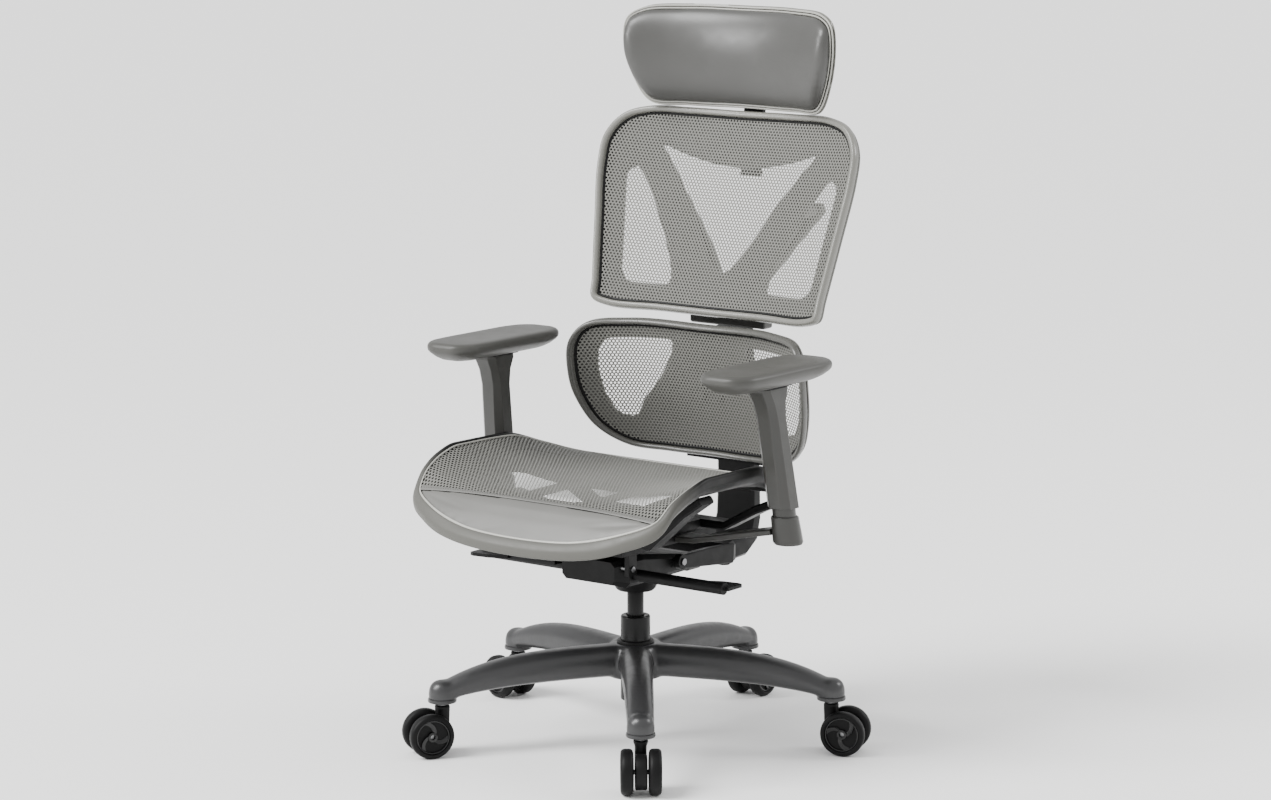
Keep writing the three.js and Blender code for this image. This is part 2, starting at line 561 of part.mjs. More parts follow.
function upperShell(ring, surface) {
  const h = panelHeight(UPPER);
  const w = UPPER.halfWidth;
  const arms = [-1, 1].map((s) => shellWeb(surface, [[s * 40, 20, 100], [s * 58, 70, 84], [s * 88, 130,
    74], [s * 128, 200, 72],
    [s * 168, 260, 70], [s * 205, 315, 60]], UPPER));
  const top = shellWeb(surface, [[0, h - 100, 60], [0, h - 88, 200], [0, h - 70, w * 1.36], [0, h - 50,
    w * 1.62], [0, h - 24, w * 1.6]], UPPER);
  const guideHalf = STEM.width / 2 + STEM.guideWall;
  const back = surface(0, h - 60, -LAYER - 4).y;
  const guide = box(-guideHalf, guideHalf, back - 6,
    stemY(STEM.guideTop) + STEM.thickness / 2 + STEM.guideWall, STEM.guideBottom, STEM.guideTop);
  const slot = stemGeometry(STEM.guideBottom - 10, STEM.guideTop + 10, RUNNING);
  const tips = [-1, 1].map((s) => rod(VEE.barDiameter / 2 - 3, vec(s * VEE.tipX, shellBackY(surface),
    VEE.tipZ),
    vec(s * VEE.tipX, VEE.tipY - VEE.barDiameter / 2 - 2 * SEAM, VEE.tipZ), 12));
  return cut(join(ring, ...arms, top, guide, ...tips), slot);
}
const shellBackY = (surface) => surface(VEE.tipX, (VEE.tipZ - UPPER.bottomZ) * 1.04, -LAYER - 5).y;

function lumbarShell(ring, surface) {
  const h = panelHeight(LUMBAR);
  const plate = shellWeb(surface, [[0, 14, 210], [0, 50, 300], [0, 90, 270], [0, 130, 200], [0, 175, 150],
    [0, h - 14, 130]], LUMBAR);
  const lugs = [-1, 1].map((s) => box(Math.min(s * 12, s * 24), Math.max(s * 12, s * 24), surface(0, 110,
    -LAYER - 3).y,
    LUMBAR.pinY + 10, LUMBAR.pinZ - 11, LUMBAR.pinZ + 11));
  return cut(join(ring, plate, ...lugs), lumbarPin(RUNNING));
}
const lumbarPin = (extra) => rod(4 + extra, vec(-27 - 10 * extra, LUMBAR.pinY, LUMBAR.pinZ),
  vec(27 + 10 * extra, LUMBAR.pinY, LUMBAR.pinZ), 12);

// Side arms from the recline pin, a cross block, and a spine that sweeps back and up behind the lumbar panel.
function addBackBracket() {
  const inner = MECH.width / 2 + BRACKET.gap;
  const outer = inner + BRACKET.wall;
  const { pivotY, pivotZ } = MECH;
  const sides = [-1, 1].flatMap((s) => {
    const x = s * (inner + outer) / 2;
    const cheek = rod(BRACKET.cheekRadius, vec(s * inner, pivotY, pivotZ), vec(s * outer, pivotY, pivotZ),
      20);
    const arm = beam([vec(x, pivotY, pivotZ), vec(x, 90, 306), vec(x, BRACKET.crossFront + 15, 300)],
      [2 * BRACKET.cheekRadius - 2, 30, 34].map((h) => chamfered(BRACKET.wall, h, 2)), vec(1, 0, 0));
    return [cheek, arm];
  });
  const cross = beam([BRACKET.crossFront, BRACKET.crossFront + 8, BRACKET.crossRear - 8,
    BRACKET.crossRear].map((y) => vec(0, y, 299)),
    [0.92, 1, 0.9, 0.7].map((s) => chamfered(outer * 2 * s, 38, 6)), vec(1, 0, 0));
  const path = [[170, 297], [225, 290], [262, 290], [288, 305], [298, 335], [299, 400], [294, 480],
    [287, 570], [281, BRACKET.spineTop]];
  const spine = beam(path.map(([y, z]) => vec(0, y, z)),
    path.map((_, i) => chamfered(BRACKET.spineWidth - 2.5 * i,
      BRACKET.spineThickness + (i < 5 ? 10 - 2 * i : 0), 5)), vec(1, 0, 0));
  const lug = box(-10.5, 10.5, LUMBAR.pinY - 9, 286, LUMBAR.pinZ - 11, LUMBAR.pinZ + 11);
  const crossPiece = box(-85, 85, 262, 284, 436, 462);
  const pinHole = rod(MECH.pinDiameter / 2 + RUNNING, vec(-outer - 5, pivotY, pivotZ),
    vec(outer + 5, pivotY, pivotZ), 16);
  add('back_bracket', cut(join(...sides, cross, spine, lug, crossPiece), pinHole, lumbarPin(RUNNING)),
    FINISH.black);
  add('lumbar_pin', lumbarPin(0), FINISH.steel);
}

// The hub on top of the spine and its two round arms, which carry the upper panel.
function addVeeSupport() {
  const half = VEE.hubWidth / 2;
  const hub = box(-half, half, VEE.hubFront, VEE.hubRear, VEE.hubBottom, VEE.hubTop);
  const arms = [-1, 1].flatMap((s) => {
    const points = [vec(s * 25, 274, VEE.hubTop - 20), vec(s * 45, 290, 745), vec(s * 82, 309, 800),
      vec(s * VEE.tipX, VEE.tipY, VEE.tipZ)];
    const knob = new THREE.SphereGeometry(VEE.barDiameter / 2 + 1, 14, 8).translate(s * VEE.tipX,
      VEE.tipY, VEE.tipZ);
    return [beam(points, [34, 30, 26, VEE.barDiameter].map((d) => oval(d, VEE.barDiameter)),
      vec(1, 0, 0)), knob];
  });
  add('vee_support', join(hub, ...arms), FINISH.greyPlastic);
}

// ---- Headrest ----
const stemY = (z) => HEAD.pivotY + (z - HEAD.pivotZ) * STEM.lean;
function stemGeometry(low, high, extra = 0) {
  const section = chamfered(STEM.width + 2 * extra, STEM.thickness + 2 * extra, 2);
  return loft([low, high].map((z) => section.map(([u, v]) => vec(u, stemY(z) + v, z))));
}

function addHeadrest() {
  const panel = {
    halfWidth: HEAD.halfWidth, bottomY: HEAD.backY, bottomZ: HEAD.bottom, topY: HEAD.backY - 2,
      topZ: HEAD.top, wing: HEAD.wing, wingPower: HEAD.wingPower,
  };
  const surface = panelSurface(panel);
  const w = HEAD.halfWidth;
  const h = HEAD.top - HEAD.bottom;
  const points = outline([[0, 0], [w * 0.5, 0], [w * 0.8, 5], [w * 0.93, h * 0.27], [w, h * 0.62],
    [w * 0.97, h * 0.87],
    [w * 0.84, h * 0.97], [w * 0.5, h], [0, h]], 28);
  const pinHole = rod(HEAD.pinDiameter / 2 + RUNNING, vec(-60, HEAD.pivotY, HEAD.pivotZ),
    vec(60, HEAD.pivotY, HEAD.pivotZ), 12);
  const shares = [0.12, 0.45, 0.76, 1];
  const shell = sheetOn(surface, points, 0, HEAD.shellThickness, shares);
  const lugX = [STEM.width / 2 + SEAM, STEM.width / 2 + SEAM + 10];
  const lugs = [-1, 1].map((s) => box(Math.min(s * lugX[0], s * lugX[1]), Math.max(s * lugX[0],
    s * lugX[1]),
    HEAD.backY - 6, HEAD.pivotY + 11, HEAD.pivotZ - 13, HEAD.pivotZ + 13));
  add('headrest_shell', cut(join(shell, ...lugs), pinHole), FINISH.lightFrame);
  const padBack = HEAD.shellThickness + SEAM;
  const swell = [[1, 0], [1, 0.3], [0.95, 0.65], [0.84, 0.9], [0.55, 1], [0.12, 1]];
  const middle = new THREE.Vector2(0, h / 2);
  const rings = [...shares.slice(0, -1).map((share) => [share, 0]),
    ...swell].map(([share, rise]) => inset(points, 3).map((p) => {
    const q = middle.clone().lerp(p, share);
    return surface(q.x, q.y, padBack + rise * (HEAD.padThickness - padBack));
  }));
  add('headrest_pad', loft(rings), FINISH.leather);
  const head = rod(10, vec(-STEM.width / 2, HEAD.pivotY, HEAD.pivotZ),
    vec(STEM.width / 2, HEAD.pivotY, HEAD.pivotZ), 16);
  add('headrest_stem', cut(join(stemGeometry(STEM.bottom, HEAD.pivotZ), head), pinHole), FINISH.black);
  add('headrest_pin', rod(HEAD.pinDiameter / 2, vec(-lugX[1] - 3, HEAD.pivotY, HEAD.pivotZ),
    vec(lugX[1] + 3, HEAD.pivotY, HEAD.pivotZ), 12), FINISH.steel);
}

// ---- Arms ----
const armX = () => SEAT.halfWidth + ARM.seatGap;
// A post leans forward and inward as it rises: each level section is shifted along that lean.
const armAt = (side, z) => vec(side * (armX() - (z - ARM.cupBottom) * ARM.leanIn),
  ARM.y - (z - ARM.cupBottom) * ARM.leanForward, z);
function leaning(side, levels) {
  return loft(levels.map(([z, section]) => {
    const centre = armAt(side, z);
    return section.map(([u, v]) => centre.clone().add(vec(u, v, 0)));
  }));
}
const round = (diameter, sides = 14) => oval(diameter / Math.cos(Math.PI / sides),
  diameter / Math.cos(Math.PI / sides), sides);
const padCentre = (side) => armAt(side, ARM.sleeveTop).add(vec(0, -PAD.forward, 0));

function addArm(label, side) {
  const cupTop = ARM.cupBottom + ARM.cupHeight;
  const postBottom = ARM.cupBottom + 12;
  const cup = leaning(side, [[ARM.cupBottom, round(ARM.cupDiameter - 4)], [ARM.cupBottom + 4,
    round(ARM.cupDiameter)],
    [cupTop - 2, round(ARM.cupDiameter - 4)], [cupTop, round(ARM.cupDiameter - 8)]]);
  const well = leaning(side, [[postBottom - SEAM, round(ARM.postDiameter + 2 * RUNNING)], [cupTop + 5,
    round(ARM.postDiameter + 2 * RUNNING)]]);
  const linkEnd = carrierTop() - ARM.linkThickness / 2;
  const carrierSide = side * (carrierHalf() + 0.5);
  const link = beam([vec(carrierSide, ARM.y, linkEnd), vec(side * 120, ARM.y, linkEnd + 2),
    vec(side * (armX() - 22), ARM.y, ARM.cupBottom + 20)],
    [0, 0, 0].map(() => chamfered(ARM.linkThickness, ARM.linkWidth, 2)), vec(0, 0, 1));
  add(`${label}_arm_bracket`, cut(join(cup, link), well), FINISH.greyPlastic);
  add(`${label}_arm_post`, leaning(side, [[postBottom, round(ARM.postDiameter)], [ARM.postTop,
    round(ARM.postDiameter)]]), FINISH.greyPlastic);
  addSleeve(label, side);
  addArmPad(label, side);
}

function addSleeve(label, side) {
  const { sleeveBottom: low, sleeveTop: high } = ARM;
  const sleeve = leaning(side, [
    [low, chamfered(ARM.sleeveWidth, ARM.sleeveLength, 11)],
      [low + 90, chamfered(ARM.sleeveWidth - 1, ARM.sleeveLength - 1, 11)],
    [high - 52, chamfered(ARM.waistWidth, ARM.waistLength, 10)],
      [high - 26, chamfered(ARM.waistWidth + 1, ARM.waistLength + 8, 10)],
    [high - 6, chamfered(ARM.flareWidth, ARM.flareLength, 10)],
      [high, chamfered(ARM.flareWidth, ARM.flareLength, 10)]]);
  const bore = leaning(side, [[low - 5, round(ARM.postDiameter + 2 * RUNNING)], [ARM.postTop + SEAM,
    round(ARM.postDiameter + 2 * RUNNING)]]);
  const top = armAt(side, high);
  const stubHole = rod(PAD.stubDiameter / 2 + RUNNING, top.clone().add(vec(0, 0, -17)),
    top.clone().add(vec(0, 0, 5)), 16);
  const face = buttonFace(side);
  const { width: bw, height: bh, depth: bd } = BUTTON;
  const pocket = box(face.x - bw / 2 - SEAM, face.x + bw / 2 + SEAM, face.y - bd - 2, face.y + 20,
    BUTTON.z - bh / 2 - SEAM, BUTTON.z + bh / 2 + SEAM);
  add(`${label}_arm_sleeve`, cut(sleeve, bore, stubHole, pocket), FINISH.greyPlastic);
  add(`${label}_arm_button`, box(face.x - bw / 2, face.x + bw / 2, face.y - bd + BUTTON.proud,
    face.y + BUTTON.proud, BUTTON.z - bh / 2, BUTTON.z + bh / 2),
    FINISH.black);
}
// The rear face of the sleeve at the button's height.
const buttonFace = (side) => armAt(side, BUTTON.z).add(vec(0, ARM.waistLength / 2 + 3.5, 0));

function addArmPad(label, side) {
  const top = armAt(side, ARM.sleeveTop);
  const low = ARM.sleeveTop + SEAM;
  const plate = chamfered(PAD.carrierWidth, PAD.carrierLength, 8);
  const carrier = loft([low, low + PAD.carrierThickness].map((z) => plate.map(([u, v]) => vec(top.x + u,
    top.y - PAD.forward + v, z))));
  const stub = rod(PAD.stubDiameter / 2, vec(top.x, top.y, ARM.sleeveTop - 15),
    vec(top.x, top.y, low + 3), 16);
  add(`${label}_pad_carrier`, join(carrier, stub), FINISH.black);
  const centre = padCentre(side);
  const bottom = low + PAD.carrierThickness - PAD.pocketDepth;
  const plan = (w, l) => oval(w, l, 16, 0.5);
  const levels = [[0, 0.8], [0.12, 0.88], [0.42, 1], [0.7, 1], [0.9, 0.93], [1, 0.8]];
  const body = loft(levels.map(([t, s]) => plan(PAD.width - (1 - s) * 90, PAD.length - (1 - s) * 110)
    .map(([u, v]) => vec(centre.x + u, centre.y + v, bottom + t * PAD.thickness))));
  const pocketX = PAD.carrierWidth / 2 + SEAM;
  const pocketY = PAD.carrierLength / 2 + 2 * SEAM;
  const pocket = box(centre.x - pocketX, centre.x + pocketX, centre.y - pocketY,
    centre.y + pocketY + PAD.travel,
    bottom - 5, bottom + PAD.pocketDepth + 0.5);
  add(`${label}_arm_pad`, cut(body, pocket), FINISH.padSkin);
}

addBase();
for (let k = 0; k < BASE.legs; k += 1) addCaster(k);
addLift();
addMechanism();
addLever('height_lever', -1, -34);
addLever('tilt_lever', 1, 42);
addCarrier();
addUnderframe();
addSeat();
addBackBracket();
addVeeSupport();
addPanel('upper_back', UPPER, upperOutline(), upperShell);
addPanel('lumbar', LUMBAR, lumbarOutline(), lumbarShell);
addHeadrest();
addArm('left', 1);
addArm('right', -1);

// The origin is the point on the floor under the middle of the chair's outline.
chair.updateMatrixWorld(true);
const extent = new THREE.Box3().setFromObject(chair, true).getCenter(vec(0, 0, 0));
chair.position.set(-extent.x, -extent.y, 0);

export default chair;
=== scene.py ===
import json
import math

import bmesh
import bpy
import numpy as np
from mathutils import Matrix, Vector
from mathutils.geometry import delaunay_2d_cdt


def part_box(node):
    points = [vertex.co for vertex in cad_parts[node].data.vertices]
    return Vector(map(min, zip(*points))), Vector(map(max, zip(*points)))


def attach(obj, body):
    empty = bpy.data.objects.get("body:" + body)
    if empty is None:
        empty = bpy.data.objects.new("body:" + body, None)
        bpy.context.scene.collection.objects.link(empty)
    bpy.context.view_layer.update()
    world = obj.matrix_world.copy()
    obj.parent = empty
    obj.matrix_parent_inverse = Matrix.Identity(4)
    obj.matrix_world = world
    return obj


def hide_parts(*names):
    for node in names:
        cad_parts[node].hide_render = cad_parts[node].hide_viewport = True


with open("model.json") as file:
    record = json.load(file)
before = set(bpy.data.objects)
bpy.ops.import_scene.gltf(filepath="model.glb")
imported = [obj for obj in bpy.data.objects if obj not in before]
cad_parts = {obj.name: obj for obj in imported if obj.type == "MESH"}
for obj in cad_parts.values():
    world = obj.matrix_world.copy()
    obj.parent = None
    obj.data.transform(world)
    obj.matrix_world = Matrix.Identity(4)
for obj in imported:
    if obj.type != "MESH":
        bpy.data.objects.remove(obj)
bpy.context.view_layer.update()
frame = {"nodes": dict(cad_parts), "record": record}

# Lengths below are millimetres from the column axis. mm() turns them into the frame's metres.
tube_low, tube_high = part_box("gas_lift_tube")
AXIS = np.array([(tube_low.x + tube_high.x) / 2, (tube_low.y + tube_high.y) / 2, 0.0])


def mm(points):
    return np.asarray(points, float) / 1000 + AXIS


# ---- Camera ----
cam = bpy.data.objects.new("camera", bpy.data.cameras.new("camera"))
bpy.context.scene.collection.objects.link(cam)
CAMERA = {"distance": 6200, "height": 1627, "turn": math.radians(37), "dip": 0.1676, "lens": 106.8,
          "sensor": 36}
cam.data.sensor_width = CAMERA["sensor"]
cam.data.lens = CAMERA["lens"]
cam.location = mm((CAMERA["distance"] * math.sin(CAMERA["turn"]),
                   -CAMERA["distance"] * math.cos(CAMERA["turn"]),
                   CAMERA["height"]))
cam.rotation_euler = (math.pi / 2 - CAMERA["dip"], 0, CAMERA["turn"])
bpy.context.scene.camera = cam


# ---- Materials ----
def new_material(name, color, rough, metal=0.0, coat=0.0, sheen=0.0, specular=0.5):
    m = bpy.data.materials.new(name)
    m.use_nodes = True
    tree = m.node_tree
    bsdf = tree.nodes["Principled BSDF"]
    bsdf.inputs["Base Color"].default_value = (*color, 1)
    bsdf.inputs["Roughness"].default_value = rough
    bsdf.inputs["Metallic"].default_value = metal
    bsdf.inputs["Coat Weight"].default_value = coat
    bsdf.inputs["Coat Roughness"].default_value = 0.3
    bsdf.inputs["Sheen Weight"].default_value = sheen
    bsdf.inputs["Specular IOR Level"].default_value = specular
    m.diffuse_color = (*color, 1)
    return m, tree, bsdf


def coordinate(tree, stretch=(1, 1, 1)):
    tex = tree.nodes.new("ShaderNodeTexCoord")
    mapping = tree.nodes.new("ShaderNodeMapping")
    mapping.inputs["Scale"].default_value = stretch
    tree.links.new(tex.outputs["Object"], mapping.inputs["Vector"])
    return mapping.outputs["Vector"]


def noise(tree, vector, scale, detail=2.0):
    n = tree.nodes.new("ShaderNodeTexNoise")
    n.inputs["Scale"].default_value = scale
    n.inputs["Detail"].default_value = detail
    tree.links.new(vector, n.inputs["Vector"])
    return n.outputs["Fac"]


def remap(tree, value, low, high):
    n = tree.nodes.new("ShaderNodeMapRange")
    n.inputs["From Min"].default_value = 0.3
    n.inputs["From Max"].default_value = 0.7
    n.inputs["To Min"].default_value = low
    n.inputs["To Max"].default_value = high
    tree.links.new(value, n.inputs["Value"])
    return n.outputs["Result"]


def two_tone(tree, factor, first, second):
    n = tree.nodes.new("ShaderNodeMix")
    n.data_type = "RGBA"
    n.inputs["A"].default_value = (*first, 1)
    n.inputs["B"].default_value = (*second, 1)
    tree.links.new(factor, n.inputs["Factor"])
    return n.outputs["Result"]


def bump(tree, bsdf, height, distance, strength=1.0):
    n = tree.nodes.new("ShaderNodeBump")
    n.inputs["Distance"].default_value = distance
    n.inputs["Strength"].default_value = strength
    tree.links.new(height, n.inputs["Height"])
    tree.links.new(n.outputs["Normal"], bsdf.inputs["Normal"])


# Moulded plastic or paint: mottled colour and roughness with a fine sparked grain.
def moulded(name, color, rough, spread=0.08, grain=1400, depth=0.00012, metal=0.0, coat=0.0, specular=0.5):
    m, tree, bsdf = new_material(name, color, rough, metal, coat, specular=specular)
    at = coordinate(tree)
    wide = remap(tree, noise(tree, at, 9), 0, 1)
    dark = tuple(c * (1 - spread) for c in color)
    light = tuple(min(1, c * (1 + spread)) for c in color)
    tree.links.new(two_tone(tree, wide, dark, light), bsdf.inputs["Base Color"])
    tree.links.new(remap(tree, noise(tree, at, 60), rough - 0.05, rough + 0.06), bsdf.inputs["Roughness"])
    bump(tree, bsdf, noise(tree, at, grain, 3), depth, 0.5)
    return m


# Coated skin with a pebbled grain of small cells.
def grained(name, color, rough, scale=620, depth=0.00022, sheen=0.0, specular=0.5):
    m, tree, bsdf = new_material(name, color, rough, sheen=sheen, specular=specular)
    at = coordinate(tree)
    cells = tree.nodes.new("ShaderNodeTexVoronoi")
    cells.inputs["Scale"].default_value = scale
    tree.links.new(at, cells.inputs["Vector"])
    dark = tuple(c * 0.96 for c in color)
    light = tuple(c * 1.04 for c in color)
    tree.links.new(two_tone(tree, remap(tree, noise(tree, at, 14), 0, 1), dark, light),
                   bsdf.inputs["Base Color"])
    tree.links.new(remap(tree, noise(tree, at, 40), rough - 0.02, rough + 0.02), bsdf.inputs["Roughness"])
    bump(tree, bsdf, cells.outputs["Distance"], depth, 0.35)
    return m


# Knitted yarn: fine twisted ribs across the strands.
def woven(name, color, rough):
    m, tree, bsdf = new_material(name, color, rough, sheen=0.15)
    at = coordinate(tree)
    wave = tree.nodes.new("ShaderNodeTexWave")
    wave.inputs["Scale"].default_value = 420
    wave.inputs["Distortion"].default_value = 3
    tree.links.new(at, wave.inputs["Vector"])
    dark = tuple(c * 0.82 for c in color)
    light = tuple(min(1, c * 1.12) for c in color)
    tree.links.new(two_tone(tree, wave.outputs["Fac"], dark, light), bsdf.inputs["Base Color"])
    tree.links.new(remap(tree, noise(tree, at, 220), rough - 0.08, rough + 0.08), bsdf.inputs["Roughness"])
    bump(tree, bsdf, wave.outputs["Fac"], 0.0001, 0.5)
    return m


# Brushed or ground metal: long fine scratches along one axis.
def brushed(name, color, rough, stretch):
    m, tree, bsdf = new_material(name, color, rough, 1.0)
    at = coordinate(tree, stretch)
    lines = noise(tree, at, 500, 2)
    tree.links.new(remap(tree, lines, rough - 0.08, rough + 0.12), bsdf.inputs["Roughness"])
    dark = tuple(c * 0.9 for c in color)
    tree.links.new(two_tone(tree, remap(tree, lines, 0, 1), dark, color), bsdf.inputs["Base Color"])
    bump(tree, bsdf, lines, 0.00005, 0.4)
    return m


# The seat rim: light at the front, dark along the sides. The dark along the sides is painted shade where
# the frame sits in shadow, laid over the frame's own dark plastic. The grey front is partly a painted
# highlight.
def rim_painted_shade_material():
    m, tree, bsdf = new_material("seat_rim_painted_shade", (0.16, 0.158, 0.148), 0.4, specular=0.22)
    at = coordinate(tree)
    split = tree.nodes.new("ShaderNodeSeparateXYZ")
    tree.links.new(at, split.inputs["Vector"])
    n = tree.nodes.new("ShaderNodeMapRange")
    n.inputs["From Min"].default_value = -0.305
    n.inputs["From Max"].default_value = -0.21
    tree.links.new(split.outputs["Y"], n.inputs["Value"])
    # Painted shade: a Y gradient from the grey front to near black along the shaded sides.
    tree.links.new(two_tone(tree, n.outputs["Result"], (0.095, 0.094, 0.085), (0.004, 0.004, 0.0039)),
                   bsdf.inputs["Base Color"])
    tree.links.new(remap(tree, noise(tree, at, 60), 0.34, 0.44), bsdf.inputs["Roughness"])
    bump(tree, bsdf, noise(tree, at, 1400, 3), 0.0001, 0.4)
    return m


M = {
    "cast": moulded("cast_base", (0.034, 0.034, 0.035), 0.34, 0.06, 900, 0.0001, metal=0.35, coat=0.08,
                    specular=0.5),
    "black": moulded("black_plastic", (0.004, 0.004, 0.0041), 0.45, specular=0.16),
    "black_paint": moulded("black_paint", (0.003, 0.003, 0.0031), 0.32, specular=0.22),
    "tyre": moulded("tyre_rubber", (0.003, 0.003, 0.0031), 0.5, 0.2, 700, 0.0002, specular=0.15),
    "cap": moulded("wheel_cap", (0.006, 0.006, 0.0062), 0.24, specular=0.4),
    "bezel": moulded("light_bezel", (0.165, 0.163, 0.147), 0.26, 0.03, coat=0.12),
    "lumbar_bezel": moulded("lumbar_bezel", (0.07, 0.0693, 0.063), 0.28, 0.03, coat=0.1),
    "shell": moulded("shell_plastic", (0.1, 0.099, 0.09), 0.5, 0.05, specular=0.3),
    "pan": moulded("seat_pan_plastic", (0.03, 0.03, 0.028), 0.5, 0.05, specular=0.2),
    "grey": moulded("grey_plastic", (0.034, 0.0337, 0.031), 0.36, 0.05, specular=0.4),
    "pad_skin": grained("arm_pad_skin", (0.052, 0.0515, 0.047), 0.42, 700, 0.00012, specular=0.35),
    "skin": grained("leather_skin", (0.05, 0.0495, 0.0465), 0.36, 760, 0.00004, specular=0.55),
    "seat_skin": grained("seat_skin", (0.125, 0.124, 0.116), 0.4, 760, 0.00008, specular=0.4),
    "piping": moulded("light_piping", (0.36, 0.357, 0.327), 0.3, 0.04),
    "mesh": woven("mesh_yarn", (0.14, 0.139, 0.125), 0.6),
    "welt": woven("welt_yarn", (0.055, 0.054, 0.049), 0.7),
    "steel": brushed("steel", (0.22, 0.22, 0.225), 0.3, (1, 1, 0.05)),
    "rim": rim_painted_shade_material(),
}
SLOT = {
    "cast": "cast_base", "black": "black_plastic", "black_paint": "black_metal", "tyre": "tyre",
    "cap": "black_plastic", "bezel": "light_frame", "lumbar_bezel": "light_frame", "shell": "shell_plastic",
    "pan": "black_plastic",
    "grey": "grey_plastic", "pad_skin": "soft_skin", "skin": "leather", "seat_skin": "leather",
    "piping": "light_frame",
    "mesh": "mesh_fabric", "welt": "mesh_fabric", "steel": "steel", "rim": "black_plastic",
}


RECORD_SLOT = {row["node"]: row["material_slot"] for row in frame["record"]["subparts"]}


# ---- Mesh helpers ----
def make(name, parts, look, body, nodes=(), angle=38, bevel=0.0, segments=3):
    """One object from (points in mm, faces) parts."""
    points, faces, base = [], [], 0
    for p, f in parts:
        p = np.asarray(p, float).reshape(-1, 3)
        points.append(p)
        faces += [tuple(int(i) + base for i in face) for face in f]
        base += len(p)
    mesh = bpy.data.meshes.new(name)
    mesh.from_pydata(mm(np.concatenate(points)).tolist(), [], faces)
    mesh.validate()
    bm = bmesh.new()
    bm.from_mesh(mesh)
    bmesh.ops.recalc_face_normals(bm, faces=bm.faces)
    bm.to_mesh(mesh)
    bm.free()
    return finish_object(name, mesh, look, body, nodes, angle, bevel, segments)


def finish_object(name, mesh, look, body, nodes=(), angle=38, bevel=0.0, segments=3):
    mesh.polygons.foreach_set("use_smooth", [True] * len(mesh.polygons))
    mesh.set_sharp_from_angle(angle=math.radians(angle))
    obj = bpy.data.objects.new(name, mesh)
    bpy.context.scene.collection.objects.link(obj)
    mesh.materials.append(M[look])
    if bevel:
        mod = obj.modifiers.new("edges", "BEVEL")
        mod.width = bevel / 1000
        mod.segments = segments
        mod.limit_method = "ANGLE"
        mod.angle_limit = math.radians(angle)
        mod.harden_normals = True
        mod.use_clamp_overlap = True
    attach(obj, body)
    if nodes:
        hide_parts(*([nodes] if isinstance(nodes, str) else nodes))
    first = nodes if isinstance(nodes, str) else (nodes[0] if nodes else None)
    RECORD_SLOT.get(first, SLOT[look])
    return obj


def body_of(node):
    return next(b for b, members in frame["record"]["behaviour"]["bodies"].items() if node in members)


def refine(node, look, bevel=1.2, angle=32, segments=3):
    """A copy of a CAD node with merged points, rounded edges and smooth faces, in the node's place."""
    bm = bmesh.new()
    bm.from_mesh(frame["nodes"][node].data)
    bmesh.ops.remove_doubles(bm, verts=bm.verts, dist=2e-6)
    bmesh.ops.dissolve_limit(bm, angle_limit=math.radians(1.0), verts=bm.verts, edges=bm.edges)
    bmesh.ops.recalc_face_normals(bm, faces=bm.faces)
    mesh = bpy.data.meshes.new(node + "_fine")
    bm.to_mesh(mesh)
    bm.free()
    return finish_object(node + "_fine", mesh, look, body_of(node), node, angle, bevel, segments)


def loft(rings, closed=False):
    rings = np.asarray(rings, float)
    rows, size = rings.shape[:2]
    faces = []
    for i in range(rows if closed else rows - 1):
        a, b = i * size, ((i + 1) % rows) * size
        for j in range(size):
            k = (j + 1) % size
            faces.append((a + j, a + k, b + k, b + j))
    if not closed:
        faces.append(tuple(range(size)))
        faces.append(tuple(reversed(range((rows - 1) * size, rows * size))))
    return rings.reshape(-1, 3), faces


def lathe(profile, segments=48, matrix=None):
    """[radius, height] points turned round Z. Ends on the axis close to a point."""
    profile = np.asarray(profile, float)
    t = np.linspace(0, 2 * math.pi, segments, endpoint=False)
    points, faces, rows = [], [], []
    for r, z in profile:
        start = sum(len(p) for p in points)
        if r < 1e-6:
            points.append(np.array([[0, 0, z]]))
            rows.append([start] * segments)
        else:
            points.append(np.stack([r * np.cos(t), r * np.sin(t), np.full(segments, z)], 1))
            rows.append(list(range(start, start + segments)))
    closed = profile[0][0] > 1e-6 and profile[-1][0] > 1e-6
    pairs = list(zip(rows, rows[1:])) + ([(rows[-1], rows[0])] if closed else [])
    for low, high in pairs:
        for j in range(segments):
            k = (j + 1) % segments
            face = list(dict.fromkeys([low[j], low[k], high[k], high[j]]))
            if len(face) > 2:
                faces.append(tuple(face))
    p = np.concatenate(points)
    if matrix is not None:
        p = p @ np.asarray(matrix)[:3, :3].T + np.asarray(matrix)[:3, 3]
    return p, faces


def rounded(points, radius, steps=4, closed=False):
    """A [x, y] polyline with its corners rounded."""
    p = np.asarray(points, float)
    out = []
    n = len(p)
    for i in range(n):
        if not closed and i in (0, n - 1):
            out.append(p[i])
            continue
        a, b, c = p[i - 1], p[i], p[(i + 1) % n]
        ra = min(radius, np.linalg.norm(a - b) * 0.45, np.linalg.norm(c - b) * 0.45)
        s = b + (a - b) / np.linalg.norm(a - b) * ra
        e = b + (c - b) / np.linalg.norm(c - b) * ra
        for t in np.linspace(0, 1, steps + 1):
            out.append((1 - t) ** 2 * s + 2 * t * (1 - t) * b + t * t * e)
    return np.array(out)


